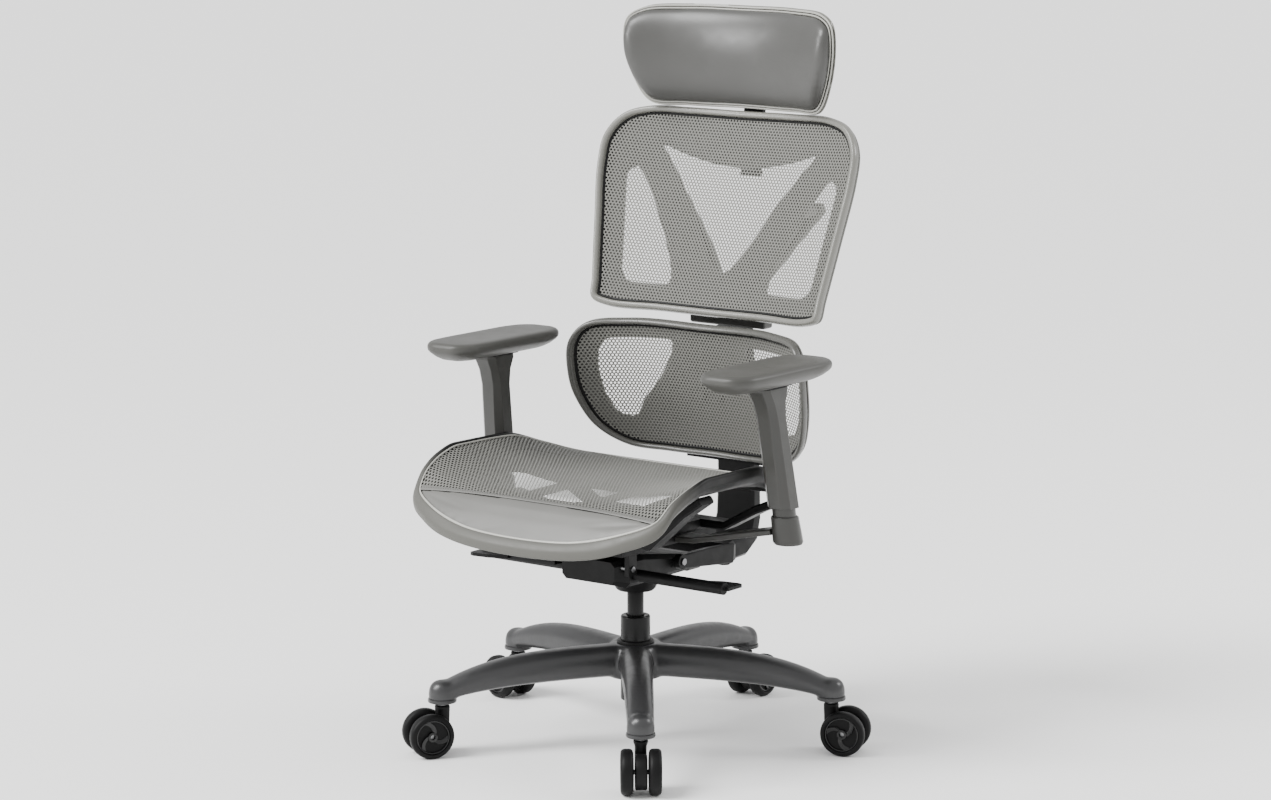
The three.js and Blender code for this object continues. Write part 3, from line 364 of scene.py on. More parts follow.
def spline(points, count, closed=True):
    """A centripetal curve through points, resampled at even spacing."""
    p = np.asarray(points, float)
    n = len(p)
    fine = []
    for i in range(n if closed else n - 1):
        q = [p[(i + k) % n] if closed else p[min(max(i + k, 0), n - 1)] for k in (-1, 0, 1, 2)]
        if not closed and i == 0:
            q[0] = 2 * p[0] - p[1]
        if not closed and i == n - 2:
            q[3] = 2 * p[-1] - p[-2]
        d = [max(np.linalg.norm(q[k + 1] - q[k]) ** 0.5, 1e-4) for k in range(3)]
        m1 = ((q[1] - q[0]) / d[0] - (q[2] - q[0]) / (d[0] + d[1]) + (q[2] - q[1]) / d[1]) * d[1]
        m2 = ((q[2] - q[1]) / d[1] - (q[3] - q[1]) / (d[1] + d[2]) + (q[3] - q[2]) / d[2]) * d[1]
        for t in np.linspace(0, 1, 24, endpoint=False):
            fine.append((2 * t**3 - 3 * t**2 + 1) * q[1] + (t**3 - 2 * t**2 + t) * m1
                        + (-2 * t**3 + 3 * t**2) * q[2] + (t**3 - t**2) * m2)
    fine.append(p[0] if closed else p[-1])
    fine = np.array(fine)
    run = np.concatenate([[0], np.cumsum(np.linalg.norm(np.diff(fine, axis=0), axis=1))])
    want = np.linspace(0, run[-1], count, endpoint=not closed)
    return np.stack([np.interp(want, run, fine[:, k]) for k in range(p.shape[1])], 1)


def outline(half, count=240):
    left = [(-x, y) for x, y in reversed(half) if x > 0]
    return spline(list(half) + left, count)


def inset(points, distance):
    along = np.roll(points, -1, 0) - np.roll(points, 1, 0)
    along /= np.linalg.norm(along, axis=1)[:, None]
    return points + np.stack([-along[:, 1], along[:, 0]], 1) * distance


def ring_on(surface, points, section, section_radius=1.5, steps=3):
    """A ring round an outline, its [inset, depth] section rounded at the corners."""
    section = rounded(section, section_radius, steps, closed=True)
    layers = []
    for a, depth in section:
        q = inset(points, a)
        layers.append(surface(q[:, 0], q[:, 1], depth))
    return loft(np.stack(layers, 1), closed=True)


def tube_on(surface, points, at, depth, radius, sides=10):
    t = np.linspace(0, 2 * math.pi, sides, endpoint=False)
    return ring_on(surface, points, np.stack([at + radius * np.cos(t), depth + radius * np.sin(t)], 1),
                   0.01, 1)


def inside(q, poly):
    x, y = q[:, 0][:, None], q[:, 1][:, None]
    a, b = poly, np.roll(poly, -1, 0)
    ya, yb = a[:, 1][None], b[:, 1][None]
    cross = (ya > y) != (yb > y)
    at = a[:, 0][None] + (y - ya) * (b[:, 0] - a[:, 0])[None] / np.where(yb == ya, 1e-9, yb - ya)
    return (np.sum(cross & (x < at), 1) % 2).astype(bool)


def edge_distance(q, loops):
    best = np.full(len(q), 1e9)
    for poly in loops:
        a, b = poly, np.roll(poly, -1, 0)
        ab = b - a
        for start in range(0, len(q), 2000):
            p = q[start:start + 2000, None]
            t = np.clip(((p - a) * ab).sum(2) / (ab**2).sum(1), 0, 1)
            d = np.linalg.norm(p - (a + t[..., None] * ab), axis=2).min(1)
            best[start:start + 2000] = np.minimum(best[start:start + 2000], d)
    return best


def plate(boundary, holes, front, back, pitch=6.0):
    """A closed plate with windows: front(points, distance from edge) and back() give the two faces."""
    loops = [boundary, *holes]
    low, high = boundary.min(0), boundary.max(0)
    gx, gy = np.meshgrid(np.arange(low[0], high[0], pitch), np.arange(low[1], high[1], pitch * 0.87))
    gx = gx + (np.arange(gx.shape[0]) % 2)[:, None] * pitch / 2
    grid = np.stack([gx.ravel(), gy.ravel()], 1)
    keep = inside(grid, boundary) & (edge_distance(grid, loops) > pitch * 0.45)
    for hole in holes:
        keep &= ~inside(grid, hole)
    verts, edges = [tuple(p) for loop in loops for p in loop], []
    start = 0
    for loop in loops:
        edges += [(start + i, start + (i + 1) % len(loop)) for i in range(len(loop))]
        start += len(loop)
    verts += [tuple(p) for p in grid[keep]]
    out, _, tris, *_ = delaunay_2d_cdt([Vector(v) for v in verts], edges, [], 0, 1e-5)
    flat = np.array([tuple(v) for v in out])
    tris = np.array([t for t in tris if len(t) == 3])
    centre = flat[tris].mean(1)
    ok = inside(centre, boundary)
    for hole in holes:
        ok &= ~inside(centre, hole)
    tris = tris[ok]
    distance = edge_distance(flat, loops)
    n = len(flat)
    points = np.concatenate([front(flat, distance), back(flat, distance)])
    seen = {}
    for t in tris:
        for k in range(3):
            e = (t[k], t[(k + 1) % 3])
            seen[tuple(sorted(e))] = None if tuple(sorted(e)) in seen else e
    faces = [tuple(t) for t in tris] + [tuple(n + i for i in reversed(t)) for t in tris]
    faces += [(e[1], e[0], n + e[0], n + e[1]) for e in seen.values() if e is not None]
    used = np.unique(np.concatenate([np.asarray(f) for f in faces]))
    index = {old: new for new, old in enumerate(used)}
    return points[used], [tuple(index[i] for i in f) for f in faces]


def netting(surface, boundary, depth, px, py, hole=0.66, thick=0.9, keep=None):
    """A knitted net of hexagonal eyes that fills a boundary, as one closed sheet of crowned strands."""
    low, high = boundary.min(0), boundary.max(0)
    cells = []
    rows = int((high[1] - low[1]) / py) + 2
    cols = int((high[0] - low[0]) / px) + 2
    for j in range(rows):
        for i in range(cols):
            cells.append((2 * i + (j % 2), 3 * j))
    cells = np.array(cells)
    centre = cells * np.array([px / 2, py / 3]) + low
    ok = inside(centre, boundary)
    if keep is not None:
        ok &= keep(centre)
    cells, centre = cells[ok], centre[ok]
    corner = np.array([(1, -1), (1, 1), (0, 2), (-1, 1), (-1, -1), (0, -2)])
    key = (cells[:, None] + corner[None]).reshape(-1, 2)
    unique, back = np.unique(key, axis=0, return_inverse=True)
    back = back.reshape(-1, 6)
    outer = unique * np.array([px / 2, py / 3]) + low
    turn = np.linspace(0, 2 * math.pi, 6, endpoint=False) - math.pi / 6
    eye = np.stack([np.cos(turn) * px * 0.5 * hole * 1.02, np.sin(turn) * py * 0.667 * hole * 0.98], 1)
    inner = (centre[:, None] + eye[None]).reshape(-1, 2)
    no, ni = len(outer), len(inner)
    top_o = surface(outer[:, 0], outer[:, 1], depth)
    rim_i = surface(inner[:, 0], inner[:, 1], depth - thick * 0.5)
    low_o = surface(outer[:, 0], outer[:, 1], depth - thick)
    points = np.concatenate([top_o, rim_i, low_o])
    faces = []
    count = {}
    for c in range(len(cells)):
        for k in range(6):
            l = (k + 1) % 6
            a, b = int(back[c, k]), int(back[c, l])
            p, q = no + c * 6 + k, no + c * 6 + l
            faces.append((a, b, q, p))
            faces.append((p, q, no + ni + b, no + ni + a))
            e = (min(a, b), max(a, b))
            count[e] = None if e in count else (a, b)
    low_start = no + ni
    faces += [(b, a, low_start + a, low_start + b) for a, b in (v for v in count.values() if v)]
    return points, faces


def cut_of(surface, boundary, hole, keep=None):
    """Width and length in metres of a boundary's flat cut, and its cloth's area without the eyes."""
    step = 4.0
    low, high = boundary.min(0), boundary.max(0)
    gx, gy = np.meshgrid(np.arange(low[0], high[0], step), np.arange(low[1], high[1], step))
    at = surface(gx, gy, 0)
    across = np.linalg.norm(surface(gx + step, gy, 0) - at, axis=-1)
    along = np.linalg.norm(surface(gx, gy + step, 0) - at, axis=-1)
    q = np.stack([gx.ravel(), gy.ravel()], 1) + step / 2
    ok = inside(q, boundary)
    if keep is not None:
        ok &= keep(q)
    ok = ok.reshape(gx.shape)
    width = float((across * ok).sum(1).max()) / 1000
    length = float((along * ok).sum(0).max()) / 1000
    area = float((across * along * ok).sum()) / 1e6 * (1 - 0.866 * hole**2)
    return (round(width, 3), round(length, 3)), round(area, 4)


def inflate(obj, pressure, cap, voxel, hold, soften=6):
    """Swells a closed pad under cloth pressure. hold(points in mm) marks the points that stay put."""
    mod = obj.modifiers.new("remesh", "REMESH")
    mod.mode = "VOXEL"
    mod.voxel_size = voxel / 1000
    bake(obj)
    start = coords(obj)
    group = obj.vertex_groups.new(name="pin")
    group.add([int(i) for i in np.flatnonzero(hold((start - AXIS) * 1000))], 1.0, "REPLACE")
    cloth = obj.modifiers.new("cloth", "CLOTH")
    cloth.settings.quality = 6
    cloth.settings.mass = 0.25
    cloth.settings.tension_stiffness = 25
    cloth.settings.compression_stiffness = 25
    cloth.settings.shear_stiffness = 12
    cloth.settings.bending_stiffness = 2
    cloth.settings.vertex_group_mass = "pin"
    cloth.settings.use_pressure = True
    cloth.settings.uniform_pressure_force = pressure
    cloth.settings.effector_weights.gravity = 0
    cloth.collision_settings.use_collision = False
    for step in range(1, 21):
        bpy.context.scene.frame_set(step)
    bake(obj)
    move = coords(obj) - start
    size = np.linalg.norm(move, axis=1)[:, None]
    move *= np.minimum(1, cap / 1000 / np.maximum(size, 1e-9))
    obj.data.vertices.foreach_set("co", (start + move).astype(np.float32).ravel())
    obj.vertex_groups.clear()
    bpy.context.scene.frame_set(1)
    smooth = obj.modifiers.new("soften", "SMOOTH")
    smooth.factor = 0.5
    smooth.iterations = soften
    bake(obj)
    sub = obj.modifiers.new("fine", "SUBSURF")
    sub.levels = sub.render_levels = 1
    obj.data.polygons.foreach_set("use_smooth", [True] * len(obj.data.polygons))


def coords(obj):
    out = np.zeros(len(obj.data.vertices) * 3, np.float32)
    obj.data.vertices.foreach_get("co", out)
    return out.reshape(-1, 3).astype(float)


def bake(obj):
    graph = bpy.context.evaluated_depsgraph_get()
    made = bpy.data.meshes.new_from_object(obj.evaluated_get(graph))
    obj.modifiers.clear()
    old = obj.data
    obj.data = made
    bpy.data.meshes.remove(old)


# ---- Surfaces, the same as the frame's ----
def hermite(stops):
    ys = np.array([s[0] for s in stops], float)
    zs = np.array([s[1] for s in stops], float)
    slope = np.diff(zs) / np.diff(ys)
    m = np.zeros(len(ys))
    m[0], m[-1] = slope[0] * 1.1, slope[-1]
    for k in range(1, len(ys) - 1):
        a, b = slope[k - 1], slope[k]
        m[k] = 0 if a * b <= 0 else 2 * a * b / (a + b)

    def value(y):
        y = np.clip(y, ys[0], ys[-1])
        k = np.clip(np.searchsorted(ys, y, side="right") - 1, 0, len(ys) - 2)
        h = ys[k + 1] - ys[k]
        t = (y - ys[k]) / h
        return ((2 * t**3 - 3 * t**2 + 1) * zs[k] + (t**3 - 2 * t**2 + t) * h * m[k]
                + (3 * t**2 - 2 * t**3) * zs[k + 1] + (t**3 - t**2) * h * m[k + 1])
    return value


rim_line = hermite([(-335, 388), (-270, 442), (-240, 474), (-195, 495), (-155, 504), (-25, 504), (70, 478),
                    (158, 445)])
mid_line = hermite([(-335, 388), (-318, 402), (-298, 426), (-270, 451), (-235, 456), (-120, 457), (20, 451),
                    (158, 445)])


def seat(x, y, depth):
    share = np.minimum(1.06, np.abs(x) / 268)
    z = mid_line(y) + (rim_line(y) - mid_line(y)) * share**3
    return np.stack([x, y, z + depth], -1)


def panel(half, by, bz, ty, tz, wing, power):
    h = math.hypot(ty - by, tz - bz)
    up = np.array([0, (ty - by) / h, (tz - bz) / h])
    forward = np.array([0, -up[2], up[1]])

    def surface(x, s, depth):
        x, s = np.broadcast_arrays(np.asarray(x, float), np.asarray(s, float))
        curl = wing * np.minimum(1.2, np.abs(x) / half) ** power
        base = np.stack([x, np.full(x.shape, float(by)), np.full(x.shape, float(bz))], -1)
        return base + s[..., None] * up + (curl + depth)[..., None] * forward
    return surface, h


upper, UH = panel(267, 217, 692, 318, 1036, 34, 2.5)
lumbar, LH = panel(249, 230, 451, 199, 683, 68, 3)
head, HH = panel(220, 322, 1042, 320, 1218, 54, 2.2)
UW, LW, HW, SW = 267, 249, 220, 268
upper_edge = outline([(0, 0), (UW * .4, 0), (UW * .77, -2), (UW * .885, 8), (UW * .905, 44),
                      (UW * .955, UH * .4), (UW, UH * .68),
                      (UW * .985, UH * .83), (UW * .88, UH * .94), (UW * .7, UH * .99), (UW * .4, UH),
                      (0, UH)])
lumbar_edge = outline([(0, 0), (LW * .35, 0), (LW * .66, 8), (LW * .86, LH * .18), (LW * .97, LH * .42),
                       (LW, LH * .62),
                       (LW * .98, LH * .86), (LW * .88, LH * .985), (LW * .6, LH * 1.01), (0, LH)])
head_edge = outline([(0, 0), (HW * .5, 0), (HW * .8, 5), (HW * .93, HH * .27), (HW, HH * .62),
                     (HW * .97, HH * .87),
                     (HW * .84, HH * .97), (HW * .5, HH), (0, HH)])
seat_edge = outline([(0, -335), (SW * .45, -328), (SW * .76, -308), (SW * .94, -279), (SW * .99, -230),
                     (SW, -110),
                     (SW * .98, 10), (SW * .92, 108), (SW * .77, 151), (SW * .5, 158), (0, 158)], 280)


# ---- Star base ----
FIRST_LEG_DEG = 38.4 - 90
LEG = [math.radians(FIRST_LEG_DEG + 72 * k) for k in range(5)]
STEM_RADIUS = 340
LEG_START = 30


def superellipse(w, h, count=28, power=0.72):
    t = np.linspace(0, 2 * math.pi, count, endpoint=False)
    c, s = np.cos(t), np.sin(t)
    return np.stack([np.sign(c) * np.abs(c) ** power * w / 2, np.sign(s) * np.abs(s) ** power * h / 2], 1)


def turned_about(part, angle, shift=(0, 0, 0)):
    p, f = part
    c, s = math.cos(angle), math.sin(angle)
    return p @ np.array([[c, s, 0], [-s, c, 0], [0, 0, 1]]) + np.array(shift), f


def star_base():
    parts = [lathe([(27, 106), (43, 106), (46, 109), (46, 158), (43.5, 163), (38, 166), (30, 166),
                    (27, 164)], 72)]
    radii = np.linspace(LEG_START, STEM_RADIUS + 5, 26)
    rings = []
    for r in radii:
        share = r / STEM_RADIUS
        top = 165 + (121 - 165) * share**4
        bottom = 110 + (92 - 110) * share**4
        w = 58 + (45 - 58) * min(1, share)
        shape = superellipse(w, top - bottom)
        shape[:, 0] *= 1 - 0.1 * (shape[:, 1] > 0) * (shape[:, 1] / (top - bottom) * 2)
        rings.append(np.stack([np.full(len(shape), r), shape[:, 0], (top + bottom) / 2 + shape[:, 1]], 1))
    arm = loft(rings)
    dome = lathe([(0, 90), (20.5, 90), (23, 92.5), (23, 106), (22.2, 113), (19.5, 119), (14.5, 124),
                  (7.5, 126.7), (0, 127.3)], 40)
    dome = (dome[0] + np.array([STEM_RADIUS, 0, 0]), dome[1])
    for a in LEG:
        parts += [turned_about(arm, a), turned_about(dome, a)]
    obj = make("star_base_fine", parts, "cast", "base", "star_base", 60)
    mod = obj.modifiers.new("remesh", "REMESH")
    mod.mode = "VOXEL"
    mod.voxel_size = 0.0026
    bake(obj)
    mod = obj.modifiers.new("soften", "CORRECTIVE_SMOOTH")
    mod.factor = 0.6
    mod.iterations = 14
    mod.use_only_smooth = True
    bake(obj)
    obj.data.polygons.foreach_set("use_smooth", [True] * len(obj.data.polygons))
    feet = []
    for a in LEG:
        foot = lathe([(6.2, 88.6), (20, 88.6), (23.6, 89.8), (24.2, 92.5), (23.4, 95.5), (21, 96),
                      (6.2, 96)], 48)
        feet.append(turned_about((foot[0] + np.array([STEM_RADIUS, 0, 0]), foot[1]), a))
    make("leg_foot_rims", feet, "cast", "base", angle=50)


star_base()
make("hub_collar", [lathe([(25.4, 160), (31, 160), (31, 167.5), (30, 169.5), (28, 170.2), (25.4, 170.2)],
                          64)], "black", "base", angle=40)
make("gas_lift_tube_fine", [lathe([(0, 66), (22.5, 66), (24.4, 67), (25, 69), (25, 208.5), (24.6, 210.6),
                                   (23.2, 211.8), (21.5, 212),
                                   (17.5, 212), (15.6, 211), (14.8, 209.5), (14.4, 206), (14.4, 92),
                                   (0, 92)], 72)],
     "black_paint", "base", "gas_lift_tube", 45)
make("gas_lift_rod_fine", [lathe([(0, 118), (13, 118), (14, 119), (14, 291), (13, 292), (0, 292)], 56)],
     "black_paint", "lift_rod", "gas_lift_rod", 45)


# ---- Casters ----
WHEEL = {"radius": 37.5, "trail": 25, "inner_face": 12}
ALONG_Y = np.array([[1, 0, 0], [0, 0, 1], [0, -1, 0]])
AGAINST_Y = np.array([[1, 0, 0], [0, 0, -1], [0, 1, 0]])


def wheel_parts():
    """A wheel on Z: inner face at 0, capped outer face at 21."""
    tyre = [(4.4, 0), (26, 0), (31, 0.4), (34.8, 1.6), (36.8, 3.8), (37.5, 7), (37.5, 13.6), (36.9, 17),
            (35.4, 19.4), (33, 20.7),
            (30.6, 21), (29.6, 20.3), (29.2, 18.6), (28.6, 15.5), (10, 13.8), (4.4, 13.8)]
    ring = [(25.6, 14.6), (28.5, 14.9), (29.1, 17.4), (28.7, 18.9), (27.6, 19.5), (26.4, 19.1),
            (25.7, 17.2)]
    hub = [(4.4, 13.5), (8.6, 13.5), (8.8, 16.4), (8, 18.2), (6, 19), (4.4, 19)]
    blades = []
    for k in range(3):
        inner, outer = [], []
        for t in np.linspace(0, 1, 13):
            r = 5.5 + t * 21.4
            a = k * 2 * math.pi / 3 + t * 0.95
            wide = (5.2 + 5.4 * t) / max(r, 6)
            inner.append((r * math.cos(a - wide / 2), r * math.sin(a - wide / 2)))
            outer.append((r * math.cos(a + wide / 2), r * math.sin(a + wide / 2)))
        rings = []
        for (x0, y0), (x1, y1) in zip(inner, outer):
            rings.append([(x0, y0, 13.4), (x1, y1, 13.4), (x1, y1, 15.8),
                          (x0 * .5 + x1 * .5, y0 * .5 + y1 * .5, 17.2), (x0, y0, 18.2)])
        blades.append(loft(rings))
    return lathe(tyre, 72), [lathe(ring, 60), lathe(hub, 36), *blades]


tyre_part, cap_parts = wheel_parts()
for k, a in enumerate(LEG, 1):
    stem = np.array([STEM_RADIUS * math.cos(a), STEM_RADIUS * math.sin(a), 0])
    spin = np.array([[math.cos(a), -math.sin(a), 0], [math.sin(a), math.cos(a), 0], [0, 0, 1]])
    for label, sign in (("left", 1), ("right", -1)):
        about = spin @ (ALONG_Y if sign > 0 else AGAINST_Y)
        at = stem + spin @ np.array([WHEEL["trail"], sign * WHEEL["inner_face"], WHEEL["radius"]])
        body = f"wheel_{label}_{k}"
        put = lambda part: (part[0] @ about.T + at, part[1])
        make(f"tyre_{label}_{k}", [put(tyre_part)], "tyre", body, f"caster_wheel_{label}_{k}", 40)
        make(f"wheel_cap_{label}_{k}", [put(p) for p in cap_parts], "cap", body, angle=30)
    lie = spin @ ALONG_Y
    centre = stem + spin @ np.array([WHEEL["trail"], 0, WHEEL["radius"]])
    disc = lathe([(4.5, -9.9), (26, -9.9), (28.2, -9), (29, -7), (29, 7), (28.2, 9), (26, 9.9), (4.5, 9.9)],
                 56)
    disc = (disc[0] @ lie.T + centre, disc[1])
    hood = superellipse(24.6, 19.6, 32, 0.8)
    neck = loft([np.stack([hood[:, 0] * f, hood[:, 1] * g, np.full(32, z)], 1) @ spin.T + stem
                 for z, f, g in ((44, .92, 1), (62, .96, 1), (74, 1, 1), (77.5, 1, 1.1), (81.5, 1, 1.24),
                                 (83.2, .96, 1.2), (84, .88, 1.1))])
    make(f"caster_body_{k}_fine", [disc, neck], "black", f"caster_{k}", f"caster_body_{k}", 42)
    collar = lathe([(0, 83.5), (8.6, 83.5), (8.8, 84.2), (8.8, 87.3), (8.2, 88), (5.5, 88.1), (5.5, 117),
                    (4.8, 118), (0, 118)], 36)
    make(f"caster_stem_{k}", [(collar[0] + stem, collar[1])], "steel", f"caster_{k}", angle=40)
    axle = lathe([(0, -25), (3.6, -25), (4, -24.4), (4, 24.4), (3.6, 25), (0, 25)], 24)
    make(f"caster_axle_{k}_fine", [(axle[0] @ lie.T + centre, axle[1])], "steel",
         f"caster_{k}", f"caster_axle_{k}", 40)

# ---- Mechanism, levers, seat structure and the bracket ----
for node, look, width in (("tilt_housing", "black", 2.2), ("mechanism_rear_cover", "grey", 1.5),
                          ("recline_pin", "steel", 0.6),
                          ("seat_pivot_pin", "steel", 0.5), ("height_lever", "black", 1.0),
                          ("tilt_lever", "black", 1.0),
                          ("seat_carrier", "black", 1.2), ("seat_underframe", "black", 1.4),
                          ("back_bracket", "black", 2.2),
                          ("lumbar_pin", "steel", 0.5), ("headrest_stem", "black", 0.8),
                          ("headrest_pin", "steel", 0.5)):
    refine(node, look, width)

# ---- Seat ----
shelf = -13
NET_START, PAD_END, HEM_Y = -270.5, -270.6, -269.2
SEAT_EYE, BACK_EYE = 0.62, 0.64
frame_section = [(0.2, -9), (1.2, -4.5), (4.5, -1.2), (8.5, -0.3), (11.3, -1.4), (12, -4), (12, shelf),
                 (34, shelf), (34, shelf - 5),
                 (27, -26.8), (8, -26.8), (1.4, -19.5)]
# The seat frame's rim material carries painted shade along the sides and a partly painted highlight at the
# front.
make("seat_frame_fine", [ring_on(seat, seat_edge, frame_section, 2.4, 3)], "rim", "seat", "seat_frame", 55)
pan_windows = [spline(rounded([(x - 46, -212), (x + 46, -212), (x + 46, -92), (x - 46, -92)], 26, 6,
                              closed=True), 70)
               for x in (-128, 0, 128)]
make("seat_pan", [plate(inset(seat_edge, 33), pan_windows,
                        lambda q, d: seat(q[:, 0], q[:, 1],
                                          shelf - 0.5 - 1.5 * (1 - np.minimum(d / 3, 1)) ** 2),
                        lambda q, d: seat(q[:, 0], q[:, 1], shelf - 4.5 + 0 * d), 8)], "pan", "seat",
                        angle=50)
make("seat_piping", [tube_on(seat, seat_edge, 12.4, -1.6, 1.25)], "piping", "seat", angle=60)
mesh_edge = inset(seat_edge, 15)
behind = lambda q: q[:, 1] > NET_START
net = make("seat_net", [netting(seat, mesh_edge, -1.6, 6.6, 5.2, SEAT_EYE, 1.0, behind)], "mesh", "seat",
           "seat_mesh", 80)
flat, cloth = cut_of(seat, mesh_edge, SEAT_EYE, behind)
pad_edge = inset(seat_edge, 13.4)
front_edge = pad_edge[pad_edge[:, 1] < PAD_END]
order = np.argsort(np.arctan2(front_edge[:, 1] + 270, front_edge[:, 0]))
front_edge = front_edge[order]
join_x = float(front_edge[:, 0].max())
band = np.array([(x, PAD_END) for x in np.linspace(join_x - 4, -join_x + 4, 90)])
front_edge = np.concatenate([front_edge, band])
front_pad = make("front_pad_fine", [plate(
    front_edge, [],
    lambda q, d: seat(q[:, 0], q[:, 1], -1.6 - 2.2 * (1 - np.minimum(d / 5, 1)) ** 2),
    lambda q, d: seat(q[:, 0], q[:, 1], np.full(len(q), -8.2)), 5)], "seat_skin", "seat", "seat_front_pad",
    60)
inflate(front_pad, 1.5, 1.2, 2.6, lambda p: p[:, 2] < seat(p[:, 0], p[:, 1], -5.2)[:, 2])
turn = np.linspace(0, 2 * math.pi, 12, endpoint=False)
stations = np.linspace(-join_x + 1, join_x - 1, 120)
hem = loft([seat(np.full(12, x), HEM_Y + 4.2 * np.sign(np.cos(turn)) * np.abs(np.cos(turn)) ** 0.6,
                 -1.75 + 0.85 * np.sin(turn))
            for x in stations])
make("seat_band_hem", [hem], "seat_skin", "seat", angle=60)
stitch = []
for x in np.arange(-join_x + 6, join_x - 6, 5.2):
    at = seat(np.array([x]), np.array([HEM_Y]), -0.85)[0]
    ball = lathe([(0, -0.35), (0.75, -0.2), (0.75, 0.2), (0, 0.35)], 8)
    stitch.append((ball[0] * np.array([2.1, 0.8, 1]) + at, ball[1]))
make("seat_band_stitches", stitch, "welt", "seat", angle=60)

# ---- Back panels ----
def bezel_ring(tag, surface, points, wide, look):
    w = wide - 2.6
    section = [(0.3, 0.6), (0.3, 8.5), (1.4, 12.6), (4, 15.4), (w - 3.6, 15.8), (w - 1, 14), (w, 10.5),
               (w, 0.6)]
    body = "back" if tag == "upper_back" else "lumbar"
    make(f"{tag}_bezel_fine", [ring_on(surface, points, section, 2, 3)], look, body, f"{tag}_bezel", 50)
    channel = [(w + 0.2, 1), (w + 0.2, 8.6), (w + 1.2, 9.4), (wide + 1.5, 8.4), (wide + 1.5, 1)]
    make(f"{tag}_channel", [ring_on(surface, points, channel, 0.6, 2)], "black", body, angle=50)


bezel_ring("upper_back", upper, upper_edge, 15, "bezel")
bezel_ring("lumbar", lumbar, lumbar_edge, 13, "lumbar_bezel")
net = make("upper_back_net", [netting(upper, inset(upper_edge, 13), 8, 6.4, 5.0, BACK_EYE, 0.9)], "mesh",
           "back", "upper_back_mesh", 80)
flat, cloth = cut_of(upper, inset(upper_edge, 13), BACK_EYE)
net = make("lumbar_net", [netting(lumbar, inset(lumbar_edge, 11), 8, 6.4, 5.0, BACK_EYE, 0.9)], "mesh",
           "lumbar", "lumbar_mesh", 80)
flat, cloth = cut_of(lumbar, inset(lumbar_edge, 11), BACK_EYE)


def mirrored(points):
    return [(-x, s) for x, s in reversed(points)]


def window(points, count=70, radius=12):
    p = rounded(points, radius, 5, closed=True)
    return spline(p, count)


right = [(99, 48), (186, 46), (200, 62), (207, 120), (215, 180), (222, 238), (200, 252), (164, 200),
         (126, 130), (104, 80)]
vee_half = [(0, 76), (20, 86), (53, 134), (94, 203), (134, 257), (166, 293)]
vee = vee_half + [(110, 276), (55, 265), (0, 261)] + [(-55, 265),
                                                      (-110, 276)] + [(-x,
                                                          s) for x, s in reversed(vee_half) if x > 0]
upper_holes = [window(right), window(mirrored(right)), window(vee, 130)]
thin = lambda q, d: -2 - 1.5 * (1 - np.minimum(d / 4, 1)) ** 2
thick = lambda q, d: -12 + 3.0 * (1 - np.minimum(d / 8, 1)) ** 2
shell_parts = [plate(inset(upper_edge, 4), upper_holes, lambda q, d: upper(q[:, 0], q[:, 1], thin(q, d)),
                     lambda q, d: upper(q[:, 0], q[:, 1], thick(q, d)), 7)]
make("upper_back_shell_fine", shell_parts, "shell", "back", "upper_back_shell", 48, 0.8, 2)
right = [(155, 55), (187, 62), (205, 98), (213, 145), (209, 184), (196, 198), (74, 199), (80, 172),
         (104, 130), (138, 90)]
thick = lambda q, d: -10 + 2.5 * (1 - np.minimum(d / 7, 1)) ** 2
lumbar_parts = [plate(inset(lumbar_edge, 4), [window(right), window(mirrored(right))],
                      lambda q, d: lumbar(q[:, 0], q[:, 1], thin(q, d)),
                      lambda q, d: lumbar(q[:, 0], q[:, 1], thick(q, d)), 7)]
make("lumbar_shell_fine", lumbar_parts, "shell", "lumbar", "lumbar_shell", 48, 0.8, 2)


def block(x0, x1, y0, y1, z0, z1):
    p = [(x, y, z) for x in (x0, x1) for y in (y0, y1) for z in (z0, z1)]
    return np.array(p, float), [(0, 1, 3, 2), (4, 6, 7, 5), (0, 4, 5, 1), (2, 3, 7, 6), (0, 2, 6, 4),
                                (1, 5, 7, 3)]


stem_y = lambda z: 348 + (z - 1120) * 0.0875
guide = []
for s in (-1, 1):
    guide.append(loft([[(s * 20.6, stem_y(z) - 20, z), (s * 29, stem_y(z) - 20, z),
                        (s * 29, stem_y(z) + 15, z), (s * 20.6, stem_y(z) + 15, z)]
                       for z in (955, 995)]))
guide.append(loft([[(-29, stem_y(z) + 6.6, z), (29, stem_y(z) + 6.6, z), (29, stem_y(z) + 15, z),
                    (-29, stem_y(z) + 15, z)] for z in (955, 995)]))
make("headrest_guide", guide, "shell", "back", angle=40, bevel=1.5)
lugs = [block(s * 12 - (12 if s < 0 else 0), s * 12 + (12 if s > 0 else 0), 212, 266, 549,
              571) for s in (-1, 1)]
make("lumbar_lugs", lugs, "shell", "lumbar", angle=40, bevel=2)


# ---- V support ----
VEE_TIP = {"x": 143, "y": 327, "z": 876, "radius": 13, "post_y": 268}


def strut(points, widths, deep, count=40, sides=28):
    path = spline(points, count, closed=False)
    size = np.interp(np.linspace(0, 1, count), np.linspace(0, 1, len(widths)), widths)
    tangent = np.gradient(path, axis=0)
    tangent /= np.linalg.norm(tangent, axis=1)[:, None]
    side = np.array([1.0, 0, 0])
    rings = []
    for p, t, w in zip(path, tangent, size):
        across = side - side.dot(t) * t
        across /= np.linalg.norm(across)
        up = np.cross(t, across)
        rings.append([p + across * u + up * v for u, v in superellipse(w, deep, sides, 0.9)])
    return loft(rings)


